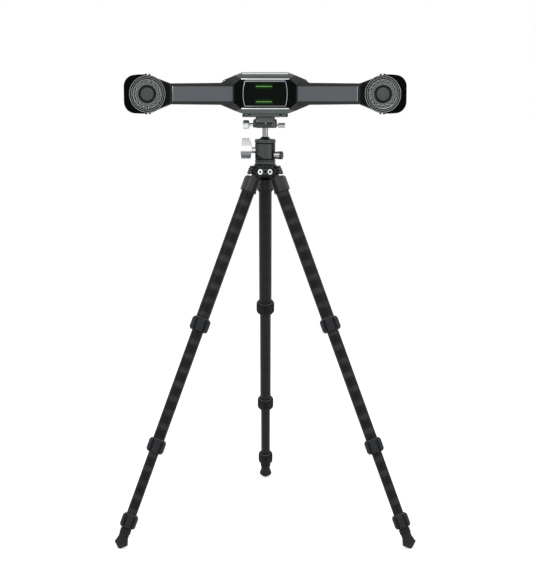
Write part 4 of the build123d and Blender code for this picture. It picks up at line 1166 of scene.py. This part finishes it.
def barrel(radius, half, curve):
    # (radius, height) points up a body with rounded ends
    flat = collar["endFlatness"] * curve
    upper = [(radius - flat * (1 - cos(bend)), half - curve * (1 - sin(bend)))
             for bend in (0, 0.3, 0.6, 0.9, 1.2, pi / 2)]
    return [(r, -z) for r, z in upper[::-1]] + upper


def makeCollar(side, leg, number):
    joint, down = joints[f"{side}_twist_lock_{number}"], leg["down"]
    upper, lower = [tubeRadii[i] + collar["clearance"] for i in (number - 1, number)]
    outer = tubeRadii[number - 1] + collar["height"]
    core, half, curve = outer - collar["padHeight"], collar["halfLength"], collar["endRound"]
    centre, rubber, steps = Vector(joint["pos_m"]), finishes["collarRubber"], collar["steps"]
    foot, head = collar["bore"]
    outline = [(upper, -half)] + barrel(core, half, curve)
    outline += [(lower, half), (lower, half - foot), (upper, half - head)]
    line = [(core + r, h - half) for r, h in collar["line"]]
    parts = [turned("collarCore", rubber, outline, centre, down, steps),
             turned("collarLine", finishes["collarLine"], line, centre, down, steps)]
    shape = barrel(outer, half - collar["padShorter"], curve)
    root = core - collar["padRoot"]
    # the rear leg's pads take the darker rubber, a painted shade on the leg further back; the other legs'
    # pads are lighter grey rubber
    padRubberRearShaded = finishes["rubber" if side == "rear" else "collarPad"]
    pad = turned("padShape", padRubberRearShaded, [(root, shape[0][1])] + shape + [(root, shape[-1][1])],
                 steps=8, sweep=2 * pi / collar["pads"] * collar["padShare"])
    out, across, along = collar["rib"]
    rib = plate("ribShape", rubber, rectangle(out, across), (0, 0, -along / 2 * mm), (1, 0, 0), (0, 1, 0),
                along, 0.25)
    turn = turnTo(down, leg["hinge"] if side == "rear" else (0, -1, 0))
    parts.append(ringOf("pads", pad, padRubberRearShaded, collar["pads"], 0.0, centre, turn))
    parts.append(ringOf("ribs", rib, rubber, collar["ribs"], core, centre, turn))
    addPiece(f"{side}Collar{number}", parts, f"{side}_collar_{number}",
             [f"{side}_twist_collar_{number}"])
    discard(pad, rib)


for side, leg in legs.items():
    for number in (1, 2, 3):
        makeCollar(side, leg, number)
print("collars made")


# connector panel: contacts in the sockets and the panel's screws

panel = {
    "sockets": (-17.0, 17.0),   # mm from the middle
    "contacts": 6,
    "contactRadius": 3.3,
    "contact": [(0, 0), (0.55, 0), (0.55, 2.8), (0.3, 3.4), (0, 3.5)],
    "boreDepth": 9.0,
    "screwPlace": (33.0, 11.0),
    "screw": [(0, -1), (1.9, -1), (1.9, 0.5), (1.4, 0.9), (0.8, 0.9), (0.7, 0.1), (0, 0.1)],
    "proud": 3.0,               # of the shells over the panel
}


def makePanelFittings():
    low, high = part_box("connector_panel")
    height = (low.z + high.z) / 2
    metal = finishes["ringMetal"]
    contact = turned("contactShape", metal, panel["contact"], steps=12)
    screw = turned("screwShape", metal, panel["screw"], steps=24)
    turn = turnTo((0, 1, 0), (0, 0, 1))
    floor, face = high.y - panel["boreDepth"] * mm, high.y - panel["proud"] * mm
    parts = [ringOf("contacts", contact, metal, panel["contacts"], panel["contactRadius"],
                    (x * mm, floor, height), turn) for x in panel["sockets"]]
    across, up = panel["screwPlace"]
    parts += [rowOf("screws", screw, metal, 2, (-across * mm, face, height + way * up * mm),
                    (2 * across * mm, 0, 0), turn) for way in (1, -1)]
    discard(contact, screw)
    addPiece("rearFittings", parts, "tracker")


makePanelFittings()
print("connector panel dressed")
